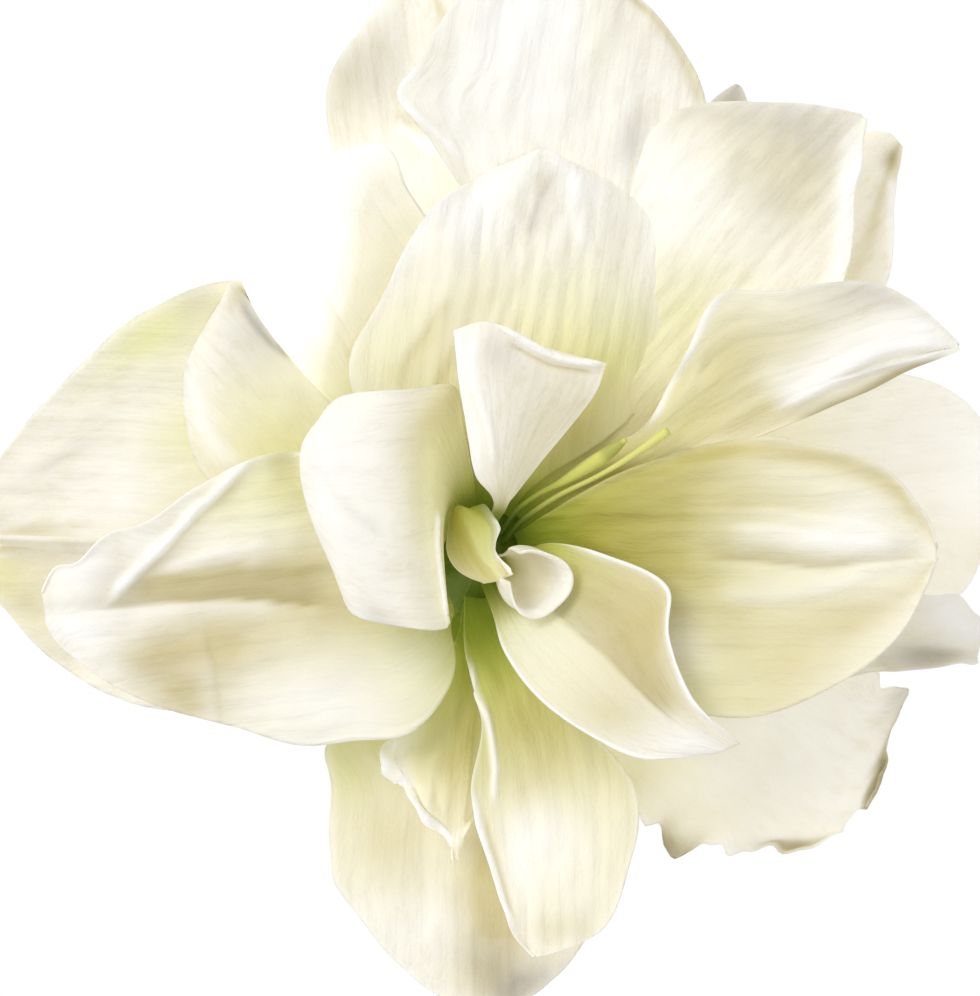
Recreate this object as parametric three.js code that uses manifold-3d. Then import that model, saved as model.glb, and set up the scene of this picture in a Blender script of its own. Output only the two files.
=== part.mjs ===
// A potted amaryllis: a double white flower on a bare stalk, the bulb half out of the soil, a plain clay pot.
// Millimetres, +Z up, the flower looking towards -Y, the middle of the pot's underside at the origin.
import * as THREE from "three";
import { mergeVertices } from "three/addons/utils/BufferGeometryUtils.js";
import Module from "manifold-3d";

const wasm = await Module();
wasm.setup();

// the pot
const potHeight = 130;
const potBaseRadius = 52;
const potShoulderRadius = 72;
const rimHeight = 30;
const rimRadius = 79;
const wallThickness = 6;
const floorThickness = 8;
const drainDiameter = 12;
const drainCircle = 28;
// the bulb and the soil
const soilHeight = 110;
const bulbBottom = 62;
const bulbTop = 158;
const bulbRadii = [20, 35, 38, 36, 30, 23, 19.5, 19];
const clearance = 0.3;
// the stalk and the leaves
const stalkTop = 378;
const stalkFootRadius = 12;
const stalkTopRadius = 9;
const leafRing = 15.6;
const leafThickness = 2.2;
// the flower
const flowerHeight = 428;
const flowerReach = 62;
const flowerTilt = 12;
const petalThickness = 0.6;

const group = new THREE.Group();
const flower = new THREE.Group();
flower.position.set(0, -flowerReach, flowerHeight);
flower.rotation.x = THREE.MathUtils.degToRad(90 - flowerTilt);
group.add(flower);

const vec = (x, y, z) => new THREE.Vector3(x, y, z);
const rad = THREE.MathUtils.degToRad;
const clamp = THREE.MathUtils.clamp;
const smooth = (x) => THREE.MathUtils.smoothstep(x, 0, 1);

const slots = {
  petal: 0xf4f4ea,
  flower_tube: 0x8fae4c,
  filament: 0xeef0dc,
  stem: 0x7d9c52,
  leaf: 0x4f7f3a,
  bud_skin: 0xb9c58a,
  spathe: 0xc9b48a,
  bulb: 0xc8a878,
  tunic: 0x8a5a36,
  root: 0xe6dcc4,
  potting_mix: 0x3b2c22,
  terracotta: 0xb9683f,
};

function add(name, slot, geometry, parent = group) {
  const soft = slot !== "terracotta" && slot !== "potting_mix";
  const material = new THREE.MeshStandardMaterial({ color: slots[slot], roughness: soft ? 0.55 : 0.9 });
  const mesh = new THREE.Mesh(geometry, material);
  mesh.name = name;
  parent.add(mesh);
}

// the value at q (0 to 1) of a smooth curve through evenly spaced values
function through(values, q) {
  const last = values.length - 1;
  const x = clamp(q, 0, 1) * last;
  const i = Math.min(Math.floor(x), last - 1);
  const f = x - i;
  const a = values[Math.max(i - 1, 0)];
  const b = values[i];
  const c = values[i + 1];
  const d = values[Math.min(i + 2, last)];
  const bend = (2 * a - 5 * b + 4 * c - d) * f * f + (3 * b - a - 3 * c + d) * f * f * f;
  return 0.5 * (2 * b + (c - a) * f + bend);
}

// a closed sheet of even thickness about the surface point(u, q), u from -1 to 1 and q from 0 to 1
function sheet(point, thickness, cells, rows) {
  const geometry = new THREE.BoxGeometry(1, 1, 1, cells, rows, 1);
  const position = geometry.attributes.position;
  const step = 0.004;
  for (let i = 0; i < position.count; i += 1) {
    const u = 2 * position.getX(i);
    const q = position.getY(i) + 0.5;
    const side = point(u + step, q).sub(point(u - step, q));
    const ahead = point(u, Math.min(q + step, 1)).sub(point(u, Math.max(q - step, 0)));
    const normal = side.cross(ahead).normalize();
    const place = point(u, q).addScaledVector(normal, position.getZ(i) * thickness);
    position.setXYZ(i, place.x, place.y, place.z);
  }
  geometry.computeVertexNormals();
  return geometry;
}

// a closed stem along a curve, its radius given from end to end
function stem(places, radii, sides, rows) {
  const curve = new THREE.CatmullRomCurve3(places, false, "centripetal");
  const frames = curve.computeFrenetFrames(rows, false);
  const geometry = new THREE.CylinderGeometry(1, 1, 1, sides, rows);
  const position = geometry.attributes.position;
  for (let i = 0; i < position.count; i += 1) {
    const row = Math.round((position.getY(i) + 0.5) * rows);
    const radius = through(radii, row / rows);
    const place = curve.getPointAt(row / rows);
    place.addScaledVector(frames.normals[row], position.getX(i) * radius);
    place.addScaledVector(frames.binormals[row], -position.getZ(i) * radius);
    position.setXYZ(i, place.x, place.y, place.z);
  }
  geometry.computeVertexNormals();
  return geometry;
}

// a turned shape about the Z axis, its profile given from the bottom up
function turned(profile, sides) {
  const points = profile.map(([radius, height]) => new THREE.Vector2(radius, height));
  const geometry = new THREE.LatheGeometry(points, sides);
  geometry.rotateX(Math.PI / 2);
  return geometry;
}

function solid(geometry) {
  const bare = geometry.clone();
  bare.deleteAttribute("normal");
  bare.deleteAttribute("uv");
  const merged = mergeVertices(bare, 1e-4);
  const mesh = new wasm.Mesh({
    numProp: 3,
    vertProperties: new Float32Array(merged.attributes.position.array),
    triVerts: new Uint32Array(merged.index.array),
  });
  mesh.merge();
  return new wasm.Manifold(mesh);
}

function shape(body) {
  const mesh = body.getMesh();
  const geometry = new THREE.BufferGeometry();
  geometry.setAttribute("position", new THREE.BufferAttribute(mesh.vertProperties, 3));
  geometry.setIndex(new THREE.BufferAttribute(mesh.triVerts, 1));
  geometry.computeVertexNormals();
  return geometry;
}

// The petals lie on nested trumpets, one above another: a higher level starts nearer the axis and opens less.
function trumpet(level, rise = 7) {
  const mouth = 12 - 0.75 * level;
  const foot = -6 + 0.5 * level;
  const depth = 14 + 1.7 * level;
  const flare = -0.08 + 0.04 * level;
  return {
    mouth,
    height: (r) => foot + depth * (1 - Math.exp(-(r - mouth) / rise)) + flare * (r - mouth),
    slope: (r) => (depth / rise) * Math.exp(-(r - mouth) / rise) + flare,
  };
}

// A petal's surface: its midline leaves the mouth at an angle about the flower's axis and runs outwards,
// its half widths are measured across the midline, left being counter-clockwise as the flower is looked at.
function petal({ level, turn, long, left, right, sway = [0, 0], rise = 7 }) {
  const horn = trumpet(level, rise);
  const steps = 400;
  const midline = [];
  let rho = horn.mouth;
  let phi = rad(turn);
  for (let i = 0; i <= steps; i += 1) {
    const bearing = rad(through(sway, i / steps));
    midline.push([rho, phi, bearing]);
    const ds = long / steps;
    const slope = horn.slope(rho);
    rho += (Math.cos(bearing) / Math.sqrt(1 + slope * slope)) * ds;
    phi += (Math.sin(bearing) / rho) * ds;
  }
  return (u, q) => {
    const s = 1 - (1 - q) ** 1.5;
    const x = s * steps;
    const i = Math.min(Math.floor(x), steps - 1);
    const f = x - i;
    const [r0, p0, b0] = midline[i];
    const [r1, p1, b1] = midline[i + 1];
    const r = r0 + (r1 - r0) * f;
    const p = p0 + (p1 - p0) * f;
    const b = b0 + (b1 - b0) * f;
    const across = u * Math.max(through(u > 0 ? left : right, q), 0.3);
    const slant = 1 / Math.sqrt(1 + horn.slope(r) ** 2);
    const apex = r / slant - across * Math.sin(b);
    const aside = across * Math.cos(b);
    const far = Math.max(Math.hypot(apex, aside) * slant, 0.5);
    const angle = p + Math.atan2(aside, apex) / slant;
    const height = horn.height(Math.max(far, horn.mouth * 0.6));
    return vec(far * Math.cos(angle), far * Math.sin(angle), height);
  };
}

const petals = {
  petal_back_top_left: {
    level: 0, turn: 96.5, long: 94,
    left: [4, 7, 12, 17.5, 18, 9, 0.5], right: [4, 10, 13, 14, 13, 8, 0.5],
  },
  petal_back_top_right: {
    level: 1, turn: 61.5, long: 86,
    left: [3.5, 0.5, 3, 4, 4, 3, 0.5], right: [3.5, 7, 10, 11.5, 9.5, 6, 0.5],
  },
  petal_back_right: {
    level: 0, turn: 8, long: 85,
    left: [4.5, 10, 17.5, 21.5, 20.5, 14, 0.5], right: [4.5, 12.5, 17.5, 19, 16.5, 7.5, 0.5],
  },
  petal_back_lower_right: {
    level: 1.5, turn: 324, long: 73,
    left: [4.5, 8, 15.5, 21.5, 22.5, 19.5, 3], right: [4.5, 9.5, 16.5, 21, 16.5, 9.5, 3],
  },
  petal_back_bottom: {
    level: 0.5, turn: 270, long: 73.5,
    left: [5, 14, 20.5, 22, 18, 10.5, 0.5], right: [5, 16.5, 27, 26, 19.5, 10.5, 0.5],
  },
  petal_back_lower_left: {
    level: 0, turn: 181, long: 84,
    left: [5, 29.5, 27.5, 25, 17.5, 6, 0.5], right: [5, 9.5, 10.5, 9, 6, 2, 0.5],
  },
  petal_back_left: {
    level: 1.5, turn: 178, long: 85,
    left: [4.5, 6.5, 5.5, 3, 2.5, 1.5, 0.5], right: [4.5, 36, 44.5, 39, 26.5, 13, 0.5],
  },
  petal_back_upper_right: {
    level: 2, turn: 45, long: 96,
    left: [4.5, 5, 10, 12, 11, 7.5, 1.5], right: [4.5, 8.5, 15, 19, 16, 6, 1.5],
  },
  petal_mid_right: {
    level: 3, turn: 349, long: 84,
    left: [4.5, 5.5, 9, 9, 8, 5, 0.5], right: [4.5, 10.5, 15, 14, 7.5, 4, 0.5],
  },
  petal_mid_upper_left: {
    level: 3, turn: 133, long: 62,
    left: [4, 11.5, 20, 26, 22.5, 15, 0.5], right: [4, 8.5, 12.5, 11.5, 8.5, 3.5, 0.5],
  },
  petal_mid_top: {
    level: 3.8, turn: 81.5, long: 101.5,
    left: [3.5, 8.5, 13.5, 19, 22, 15.5, 0.5], right: [3.5, 9.5, 21, 26.5, 25, 14.5, 0.5],
  },
  petal_mid_bottom: {
    level: 3, turn: 264.5, long: 51.5,
    left: [3, 1, 2.5, 3, 3, 1, 0.5], right: [3, 3.5, 6.5, 12, 10, 2, 0.5],
  },
  petal_mid_upper_right: {
    level: 4.5, turn: 49, long: 98.5,
    left: [4.5, 5, 13, 19, 19.5, 10.5, 0.5], right: [4.5, 8, 15.5, 19, 14, 4.5, 0.5],
  },
  petal_mid_top_left: {
    level: 4.5, turn: 121.5, long: 75.5,
    left: [4, 2, 8, 11, 11.5, 7.5, 0.5], right: [4, 8.5, 16, 20.5, 20.5, 20, 0.5],
  },
  petal_front_left: {
    level: 5, turn: 187.5, long: 78,
    left: [4, 24.5, 28.5, 23, 17.5, 10, 0.5], right: [4, 15.5, 21, 17, 9, 3.5, 0.5],
  },
  petal_front_top: {
    level: 6, turn: 81.5, long: 74,
    left: [3.5, 14, 27, 23, 18.5, 10, 2], right: [3.5, 7.5, 21, 29.5, 27.5, 20, 2],
  },
  petal_front_bottom: {
    level: 5, turn: 268, long: 72.5, sway: [8, 0, -10],
    left: [3.5, 2.5, 9, 17.5, 17, 12, 0.5], right: [3.5, 6, 8, 10, 8, 5, 0.5],
  },
  petal_front_upper_right: {
    level: 7, turn: 5, long: 94.5, sway: [10, 0, -12],
    left: [3, 5.5, 8, 15.5, 15.5, 9.5, 0.5], right: [3, 0.5, 2, 4, 3.5, 1.5, 0.5],
  },
  petal_front_right: {
    level: 8, turn: 359.5, long: 86,
    left: [3.5, 7.5, 15, 19, 16.5, 10, 0.5], right: [3.5, 9.5, 23, 26.5, 21.5, 13, 0.5],
  },
};
for (const [name, sizes] of Object.entries(petals)) {
  add(name, "petal", sheet(petal(sizes), petalThickness, 5, 9), flower);
}

// The innermost petals are curled too freely for a trumpet: each is a net of places in the flower's frame,
// row by row from the foot to the tip, each row from the clockwise margin to the other.
const nets = {
  petal_inner_left: [
    [[-1.5, 6, -2], [-2.8, 5.5, -2.1], [-3.8, 4.8, -2.1], [-4.8, 3.8, -2]],
    [[-2, 12, 14], [-4.8, 9.7, 14], [-6.6, 5.5, 14], [-7.2, 1, 14]],
    [[-3.5, 20, 26], [-6.5, 13.5, 27], [-7.4, 3.5, 28], [-6.4, -8, 27]],
    [[-5, 27, 30], [-10, 18, 31], [-10, 2, 31], [-6.5, -12.5, 29]],
    [[-12.5, 26.5, 31], [-16, 18, 33], [-15.5, 1, 33], [-14.5, -12, 31]],
    [[-23, 25.5, 30], [-24.5, 17.5, 33], [-24, 3, 33], [-21.5, -10, 31]],
    [[-27, 22, 28], [-30, 16.5, 30], [-29, 7.5, 30], [-24, -4.5, 29]],
  ],
  petal_inner_top: [
    [[1.8, 4.6, -1.6], [1.2, 4.8, -1.6], [0.6, 4.9, -1.6], [0, 5, -1.6]],
    [[3.6, 7.4, 12], [2.9, 7.6, 12.6], [2.2, 7.6, 12.8], [1.4, 7.6, 12.4]],
    [[4.5, 9, 23], [3.5, 10, 25], [2.3, 10, 25.5], [1, 9.5, 24]],
    [[8.6, 14.2, 26.5], [4.8, 14.5, 30], [1.5, 15, 31.5], [-1.5, 13, 29]],
    [[13.6, 20.2, 29], [7.2, 21.5, 33], [1, 22.5, 36], [-3, 21, 32]],
    [[18, 26, 32.5], [9.5, 27.7, 36], [0, 30, 39.5], [-4, 28.5, 35]],
    [[19.5, 30.5, 35], [10.5, 32.5, 38.5], [1, 36.5, 41.5], [-5, 35.5, 38]],
  ],
  petal_inner_lower_right: [
    [[-0.9, -4.9, -1.2], [1.8, -4.6, -1.2], [3.8, -3.3, -1.2], [4.9, -0.9, -1.2]],
    [[1.2, -10.2, 16.5], [5, -8, 13.8], [8.6, -4.3, 14.3], [11, 1.5, 18]],
    [[3.5, -17, 28.5], [9, -13, 26], [15, -8, 27], [20, -0.5, 30]],
    [[9, -24, 34], [15.5, -19, 32.5], [22.5, -12.5, 33], [29.5, -5.5, 36.5]],
    [[17, -29.5, 38], [21.5, -24.5, 37], [26.5, -19.5, 37], [30, -14, 38.5]],
    [[25.5, -33, 40], [28.5, -29, 40], [31.5, -26, 40], [33, -23, 41]],
    [[36, -32, 42], [38, -31.5, 42.5], [39, -31, 42.5], [40.5, -30.5, 42]],
  ],
  petaloid_left: [
    [[-1.2, 3, 0], [-2.2, 2.4, 0], [-3, 1.4, 0], [-3.3, 0.2, 0]],
    [[-0.5, 8, 9], [-2.4, 7.2, 11], [-4, 5.6, 11], [-4.8, 3.4, 9]],
    [[1.6, 5.8, 13], [-1, 6.2, 17.5], [-4.2, 7.6, 17.5], [-5.4, 7, 13]],
    [[3, 4, 17], [0.5, 3.8, 21], [-3.8, 3.9, 21], [-6.1, 3.4, 16.5]],
    [[2.3, 0.4, 20], [0.9, -0.8, 22.5], [-2.6, -0.9, 22], [-6.2, -0.2, 18]],
    [[4.2, -2.6, 21.5], [2.8, -3.6, 22.8], [0, -4.4, 22.4], [-4.2, -3.4, 20]],
    [[4.6, -3.8, 22], [3.4, -4.2, 22.6], [1.6, -4.8, 22.2], [-0.2, -5.2, 21]],
  ],
};
function net(rows) {
  return (u, q) => {
    const x = clamp(q, 0, 1) * (rows.length - 1);
    const across = (row, k) => through(row.map((place) => place[k]), (u + 1) / 2);
    const axis = (k) => through(rows.map((row) => across(row, k)), x / (rows.length - 1));
    return vec(axis(0), axis(1), axis(2));
  };
}
for (const [name, rows] of Object.entries(nets)) {
  const rowCells = name === "petaloid_left" ? 7 : 10;
  add(name, "petal", sheet(net(rows), petalThickness, 5, rowCells), flower);
}

// the rolled petaloid: a funnel left open towards the other one
function scroll(u, q) {
  const angle = rad(-12 - 132 * u);
  const radius = 1.2 + 5 * q ** 2.2 + 0.5 * q * q * Math.sin(3 * angle + 1);
  return vec(
    2 + 4.5 * q + radius * Math.cos(angle),
    -1.4 - 2.6 * q + radius * Math.sin(angle),
    0.3 + 26.7 * q ** 0.8,
  );
}
add("petaloid_right", "petal", sheet(scroll, petalThickness, 12, 8), flower);

// the tube behind the petals
const tubeProfile = [
  [0, -27], [6, -27], [6.5, -20], [9, -14], [12.4, -8.6], [12.8, -7.1], [2.5, -0.3], [0, -0.3],
];
add("perianth_tube", "flower_tube", turned(tubeProfile, 24), flower);

// the style and the one stamen left, from the middle outwards
const stylePath = [
  [3.5, 1.8, 0], [6, 5, 8], [8.8, 7.2, 15], [12.8, 9.7, 20.5],
  [19, 12.7, 26], [25.2, 16.5, 31], [29.5, 19.5, 34],
];
const stamenPath = [
  [3, 3.3, 0], [5.2, 6.8, 9], [8.8, 9.6, 16], [13.5, 12, 22.5], [19, 15.4, 27.5], [23, 18.3, 30],
];
add("style", "filament", stem(stylePath.map((at) => vec(...at)), [0.5, 0.5, 0.55], 6, 12), flower);
add("stamen", "filament", stem(stamenPath.map((at) => vec(...at)), [0.5, 0.5, 0.7, 1], 6, 12), flower);

// the stalk and what it carries
add("scape", "stem", stem(
  [vec(0, 0, bulbTop + clearance), vec(0, 0, 232), vec(0, 0, 305), vec(0, 0, stalkTop)],
  [stalkFootRadius, 11, 10, stalkTopRadius], 20, 6,
));
add("ovary_and_pedicel", "stem", stem(
  [
    vec(0, -35.3, 422.33), vec(0, -26.5, 420.5), vec(0, -18, 418.3), vec(0, -9.5, 412.5),
    vec(0, -3.5, 401), vec(0, -1, 388), vec(0, -1, stalkTop + clearance),
  ],
  [4.4, 6.6, 5.6, 4, 3.6, 3.5, 3.5], 12, 14,
));
const buds = {
  right: { foot: [6, 3, stalkTop + clearance], bend: [13, 7, 395], neck: [21, 13, 405], tip: [37, 30, 455] },
  left: {
    foot: [-6, 3, stalkTop + clearance], bend: [-12, 8, 394], neck: [-19, 15, 403], tip: [-33, 34, 450],
  },
};
const budRadii = [2.6, 6.5, 9.5, 11, 10.6, 8.6, 5, 1];
for (const [side, at] of Object.entries(buds)) {
  const foot = vec(...at.foot);
  const neck = vec(...at.neck);
  const tip = vec(...at.tip);
  const axis = tip.clone().sub(neck).normalize();
  const end = neck.clone().addScaledVector(axis, -0.4);
  const near = neck.clone().addScaledVector(axis, -5);
  const upright = foot.clone().add(vec(0, 0, 6));
  const start = foot.clone().add(vec(0, 0, 1));
  const bend = [foot, start, upright, vec(...at.bend), near, end];
  add(`bud_${side}_pedicel`, "stem", stem(bend, [2.4, 2.4, 2.6], 10, 10));
  const middle = neck.clone().lerp(tip, 0.5);
  add(`bud_${side}`, "bud_skin", stem([neck, middle, tip], budRadii, 16, 12));
}

// the two papery leaves below the flowers, once the bud's cover
function spathe(side) {
  const places = [
    vec(side * 9.7, 0, 372), vec(side * 12, 0.5, 380), vec(side * 15.5, 2, 379),
    vec(side * 18.5, 4, 368), vec(side * 19.5, 6, 352),
  ];
  const spine = new THREE.CatmullRomCurve3(places, false, "centripetal");
  const widths = [9, 11, 9.5, 6, 0.6];
  return (u, q) => {
    const place = spine.getPointAt(q);
    const half = through(widths, q);
    const wrap = u * half / 14;
    const across = Math.sin(wrap) * 14;
    const back = (1 - Math.cos(wrap)) * 14;
    return vec(place.x - side * back, place.y + across, place.z);
  };
}
add("spathe_valve_right", "spathe", sheet(spathe(1), 0.6, 4, 10));
add("spathe_valve_left", "spathe", sheet(spathe(-1), 0.6, 4, 10));

// A leaf: a strap that stands on the bulb's neck in a ring about the stalk, channelled, then leans over.
function leaf({ bearing, spread, long, lean }) {
  const steps = 200;
  const widths = [10, 14, 18, 19, 18.5, 17, 13.5, 8, 0.8];
  const spine = [];
  let out = leafRing;
  let height = bulbTop + clearance;
  for (let i = 0; i <= steps; i += 1) {
    const angle = rad(through(lean, i / steps));
    spine.push([out, height, angle]);
    out += (Math.sin(angle) * long) / steps;
    height += (Math.cos(angle) * long) / steps;
  }
  return (u, q) => {
    const x = q * steps;
    const i = Math.min(Math.floor(x), steps - 1);
    const f = x - i;
    const [r0, z0, a0] = spine[i];
    const [r1, z1, a1] = spine[i + 1];
    const r = r0 + (r1 - r0) * f;
    const z = z0 + (z1 - z0) * f;
    const a = a0 + (a1 - a0) * f;
    const heading = rad(bearing + spread * smooth(q / 0.6));
    const bend = THREE.MathUtils.lerp(1 / leafRing, 1 / 50, smooth(q / 0.35));
    const t = u * Math.max(through(widths, q), 0.5);
    const across = Math.sin(bend * t) / bend;
    const inwards = (1 - Math.cos(bend * t)) / bend;
    const radial = r - inwards * Math.cos(a);
    return vec(
      radial * Math.cos(heading) - across * Math.sin(heading),
      radial * Math.sin(heading) + across * Math.cos(heading),
      z + inwards * Math.sin(a),
    );
  };
}
const leaves = {
  leaf_right: { bearing: 45, spread: -17, long: 236, lean: [4, 34, 80, 116] },
  leaf_back: { bearing: 135, spread: -8, long: 236, lean: [5, 42, 90, 120] },
  leaf_left: { bearing: 225, spread: -20, long: 246, lean: [4, 26, 70, 112] },
  leaf_front: { bearing: 315, spread: 12, long: 236, lean: [4, 30, 78, 118] },
};
for (const [name, sizes] of Object.entries(leaves)) {
  add(name, "leaf", sheet(leaf(sizes), leafThickness, 4, 14));
}

// the bulb, its roots and the dry skins that hang about its shoulder
function bulbRadius(height) {
  return through(bulbRadii, (height - bulbBottom) / (bulbTop - bulbBottom));
}
function bulbShape(extra, sides) {
  const profile = [[0, bulbBottom - extra]];
  for (let i = 0; i <= 14; i += 1) {
    const height = bulbBottom + ((bulbTop - bulbBottom) * i) / 14;
    const lift = i === 0 ? -extra : i === 14 ? extra : 0;
    profile.push([bulbRadius(height) + extra, height + lift]);
  }
  profile.push([0, bulbTop + extra]);
  return turned(profile, sides);
}
function rootShape(extra) {
  const top = bulbBottom - clearance;
  const low = 55 - extra;
  const plate = turned([[0, low], [18 + extra, low], [18 + extra, top + extra], [0, top + extra]], 24);
  let body = solid(plate);
  for (let i = 0; i < 8; i += 1) {
    const angle = rad(45 * i + 12);
    const far = 36 + 4 * Math.sin(3 * i);
    const end = 20 + 6 * Math.cos(2 * i);
    const at = (r, z, turn) => vec(r * Math.cos(angle + turn), r * Math.sin(angle + turn), z);
    const places = [at(12, 58, 0), at(18, 50, 0.05), at(27, 38, 0.2), at(far, end, 0.3)];
    const radii = [2.2 + extra, 2.2 + extra, 2 + extra, 1.2 + extra];
    body = body.add(solid(stem(places, radii, 6, 6)));
  }
  return body;
}
add("bulb", "bulb", bulbShape(0, 36));
add("basal_roots", "root", shape(rootShape(0)));

function tunic(middle, half, low, high) {
  return (u, q) => {
    const height = low + (high - low) * q + 3 * Math.cos(5 * u) * q;
    const angle = rad(middle + half * u * (1 - 0.35 * q * q));
    const radius = bulbRadius(height) + clearance + 0.55 + 1.6 * smooth((q - 0.75) / 0.25);
    return vec(radius * Math.cos(angle), radius * Math.sin(angle), height);
  };
}
const skins = {
  tunic_scale_1: [270, 52, 116, 141],
  tunic_scale_2: [30, 50, 115, 146],
  tunic_scale_3: [150, 54, 117, 138],
};
for (const [name, [middle, half, low, high]] of Object.entries(skins)) {
  add(name, "tunic", sheet(tunic(middle, half, low, high), 0.5, 8, 6));
}

// the pot and its soil
const wallInside = (height) => {
  const lowRadius = potBaseRadius - wallThickness;
  const highRadius = rimRadius - wallThickness - 3;
  const part = (height - floorThickness) / (potHeight - floorThickness);
  return lowRadius + (highRadius - lowRadius) * part;
};
const rimStart = potHeight - rimHeight;
const potProfile = [
  [0, 0], [potBaseRadius - 1.5, 0], [potBaseRadius, 1.5], [potShoulderRadius, rimStart],
  [rimRadius - 3, rimStart + 1], [rimRadius - 2, rimStart + 3], [rimRadius, potHeight - 4],
  [rimRadius - 1.5, potHeight - 0.8], [rimRadius - 4, potHeight],
  [wallInside(potHeight) + 1, potHeight - 0.6], [wallInside(potHeight - 3), potHeight - 3],
  [wallInside(floorThickness), floorThickness], [0, floorThickness],
];
let pot = solid(turned(potProfile, 48));
for (let i = 0; i < 3; i += 1) {
  const angle = rad(120 * i + 30);
  const drain = new THREE.CylinderGeometry(drainDiameter / 2, drainDiameter / 2, floorThickness + 4, 20);
  drain.rotateX(Math.PI / 2);
  drain.translate(drainCircle * Math.cos(angle), drainCircle * Math.sin(angle), floorThickness / 2);
  pot = pot.subtract(solid(drain));
}
add("pot", "terracotta", shape(pot));

const soilFloor = floorThickness + clearance;
const soilProfile = [
  [0, soilFloor], [wallInside(soilFloor) - clearance, soilFloor],
  [wallInside(soilHeight) - clearance, soilHeight], [60, soilHeight + 1],
  [48, soilHeight + 2.2], [0, soilHeight + 3],
];
let soil = solid(turned(soilProfile, 48));
soil = soil.subtract(solid(bulbShape(clearance, 36)));
soil = soil.subtract(rootShape(clearance));
add("potting_mix", "potting_mix", shape(soil));

export default group;
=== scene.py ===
import bpy
import bmesh
import math
from mathutils import Matrix, Vector, noise
from mathutils.bvhtree import BVHTree


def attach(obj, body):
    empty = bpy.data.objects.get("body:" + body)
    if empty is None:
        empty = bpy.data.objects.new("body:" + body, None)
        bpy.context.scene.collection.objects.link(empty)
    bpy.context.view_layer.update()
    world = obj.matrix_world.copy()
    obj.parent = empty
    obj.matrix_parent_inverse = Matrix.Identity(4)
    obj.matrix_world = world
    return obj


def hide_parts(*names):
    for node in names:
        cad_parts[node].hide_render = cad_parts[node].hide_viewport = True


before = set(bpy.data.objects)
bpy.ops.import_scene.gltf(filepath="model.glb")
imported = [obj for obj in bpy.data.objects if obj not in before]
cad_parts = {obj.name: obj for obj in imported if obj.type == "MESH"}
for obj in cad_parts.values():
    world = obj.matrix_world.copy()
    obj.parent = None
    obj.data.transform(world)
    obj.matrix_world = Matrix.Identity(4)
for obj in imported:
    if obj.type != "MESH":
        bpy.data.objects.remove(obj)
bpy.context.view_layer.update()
mm = 0.001


# shader helpers
class Wire:
    def __init__(self, paint, socket):
        self.paint, self.socket = paint, socket

    def maths(self, operation, *values):
        return self.paint.node("ShaderNodeMath", {"operation": operation}, dict(enumerate(values)))

    def __add__(self, other):
        return self.maths("ADD", self, other)

    def __sub__(self, other):
        return self.maths("SUBTRACT", self, other)

    def __rsub__(self, other):
        return self.maths("SUBTRACT", other, self)

    def __mul__(self, other):
        return self.maths("MULTIPLY", self, other)

    def __pow__(self, other):
        return self.maths("POWER", self, other)

    def __abs__(self):
        return self.maths("ABSOLUTE", self)

    __radd__ = __add__
    __rmul__ = __mul__

    def sine(self):
        return self.maths("SINE", self)

    def ramp(self, low, high, start=0.0, end=1.0):  # start at low, end at high, smooth between
        values = {"Value": self, "From Min": low, "From Max": high, "To Min": start, "To Max": end}
        return self.paint.node("ShaderNodeMapRange", {"interpolation_type": "SMOOTHSTEP"}, values)

    def outputs(self, *numbers):  # other outputs of the same node
        return [Wire(self.paint, self.socket.node.outputs[k]) for k in numbers]


class Paint:
    def __init__(self, name, **constants):
        self.material = bpy.data.materials.new(name)
        self.material.use_nodes = True
        self.tree = self.material.node_tree
        self.shader = self.tree.nodes["Principled BSDF"]
        for key, value in constants.items():
            self.shader.inputs[key.replace("_", " ")].default_value = value

    def node(self, kind, settings=None, values=None, out=0):
        made = self.tree.nodes.new(kind)
        for key, value in (settings or {}).items():
            setattr(made, key, value)
        for key, value in (values or {}).items():
            self.join(value, made.inputs[key])
        return Wire(self, made.outputs[out])

    def join(self, value, socket):
        if isinstance(value, Wire):
            self.tree.links.new(value.socket, socket)
        elif isinstance(value, tuple) and len(value) == 3 and socket.type == "RGBA":
            socket.default_value = (*value, 1.0)
        else:
            socket.default_value = value

    def set(self, name, value):
        self.join(value, self.shader.inputs[name])

    def mix(self, mask, first, second, blend="MIX"):
        settings = {"data_type": "RGBA", "blend_type": blend}
        return self.node("ShaderNodeMix", settings, {0: mask, 6: first, 7: second}, 2)

    def coat(self, colour, *layers):  # each layer is its mask, its colour and maybe a blend
        for layer in layers:
            colour = self.mix(layer[0], colour, *layer[1:])
        self.set("Base Color", colour)
        return colour

    def place(self):  # across and along the sheet, from its own UV map
        uv = self.node("ShaderNodeUVMap", {"uv_map": "sheet"})
        return self.node("ShaderNodeSeparateXYZ", None, {0: uv}).outputs(0, 1)

    def coordinates(self):  # Object coordinates
        return self.node("ShaderNodeTexCoord", None, None, 3)

    def vector(self, x, y, z):
        return self.node("ShaderNodeCombineXYZ", None, {0: x, 1: y, 2: z})

    def noise(self, vector, scale, detail=3.0, rough=0.55):
        values = {"Vector": vector, "Scale": scale, "Detail": detail, "Roughness": rough}
        return self.node("ShaderNodeTexNoise", None, values)

    def bump(self, height, distance, strength=1.0):  # distance in mm
        values = {"Height": height, "Distance": distance * mm, "Strength": strength}
        self.set("Normal", self.node("ShaderNodeBump", None, values))


# shape helpers
def through(values, q):  # a smooth curve through evenly spaced values
    last = len(values) - 1
    x = min(max(q, 0.0), 1.0) * last
    i = min(int(x), last - 1)
    f = x - i
    a, b, c, d = values[max(i - 1, 0)], values[i], values[i + 1], values[min(i + 2, last)]
    bend = (2 * a - 5 * b + 4 * c - d) * f * f + (3 * b - a - 3 * c + d) * f ** 3
    return 0.5 * (2 * b + (c - a) * f + bend)


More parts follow.
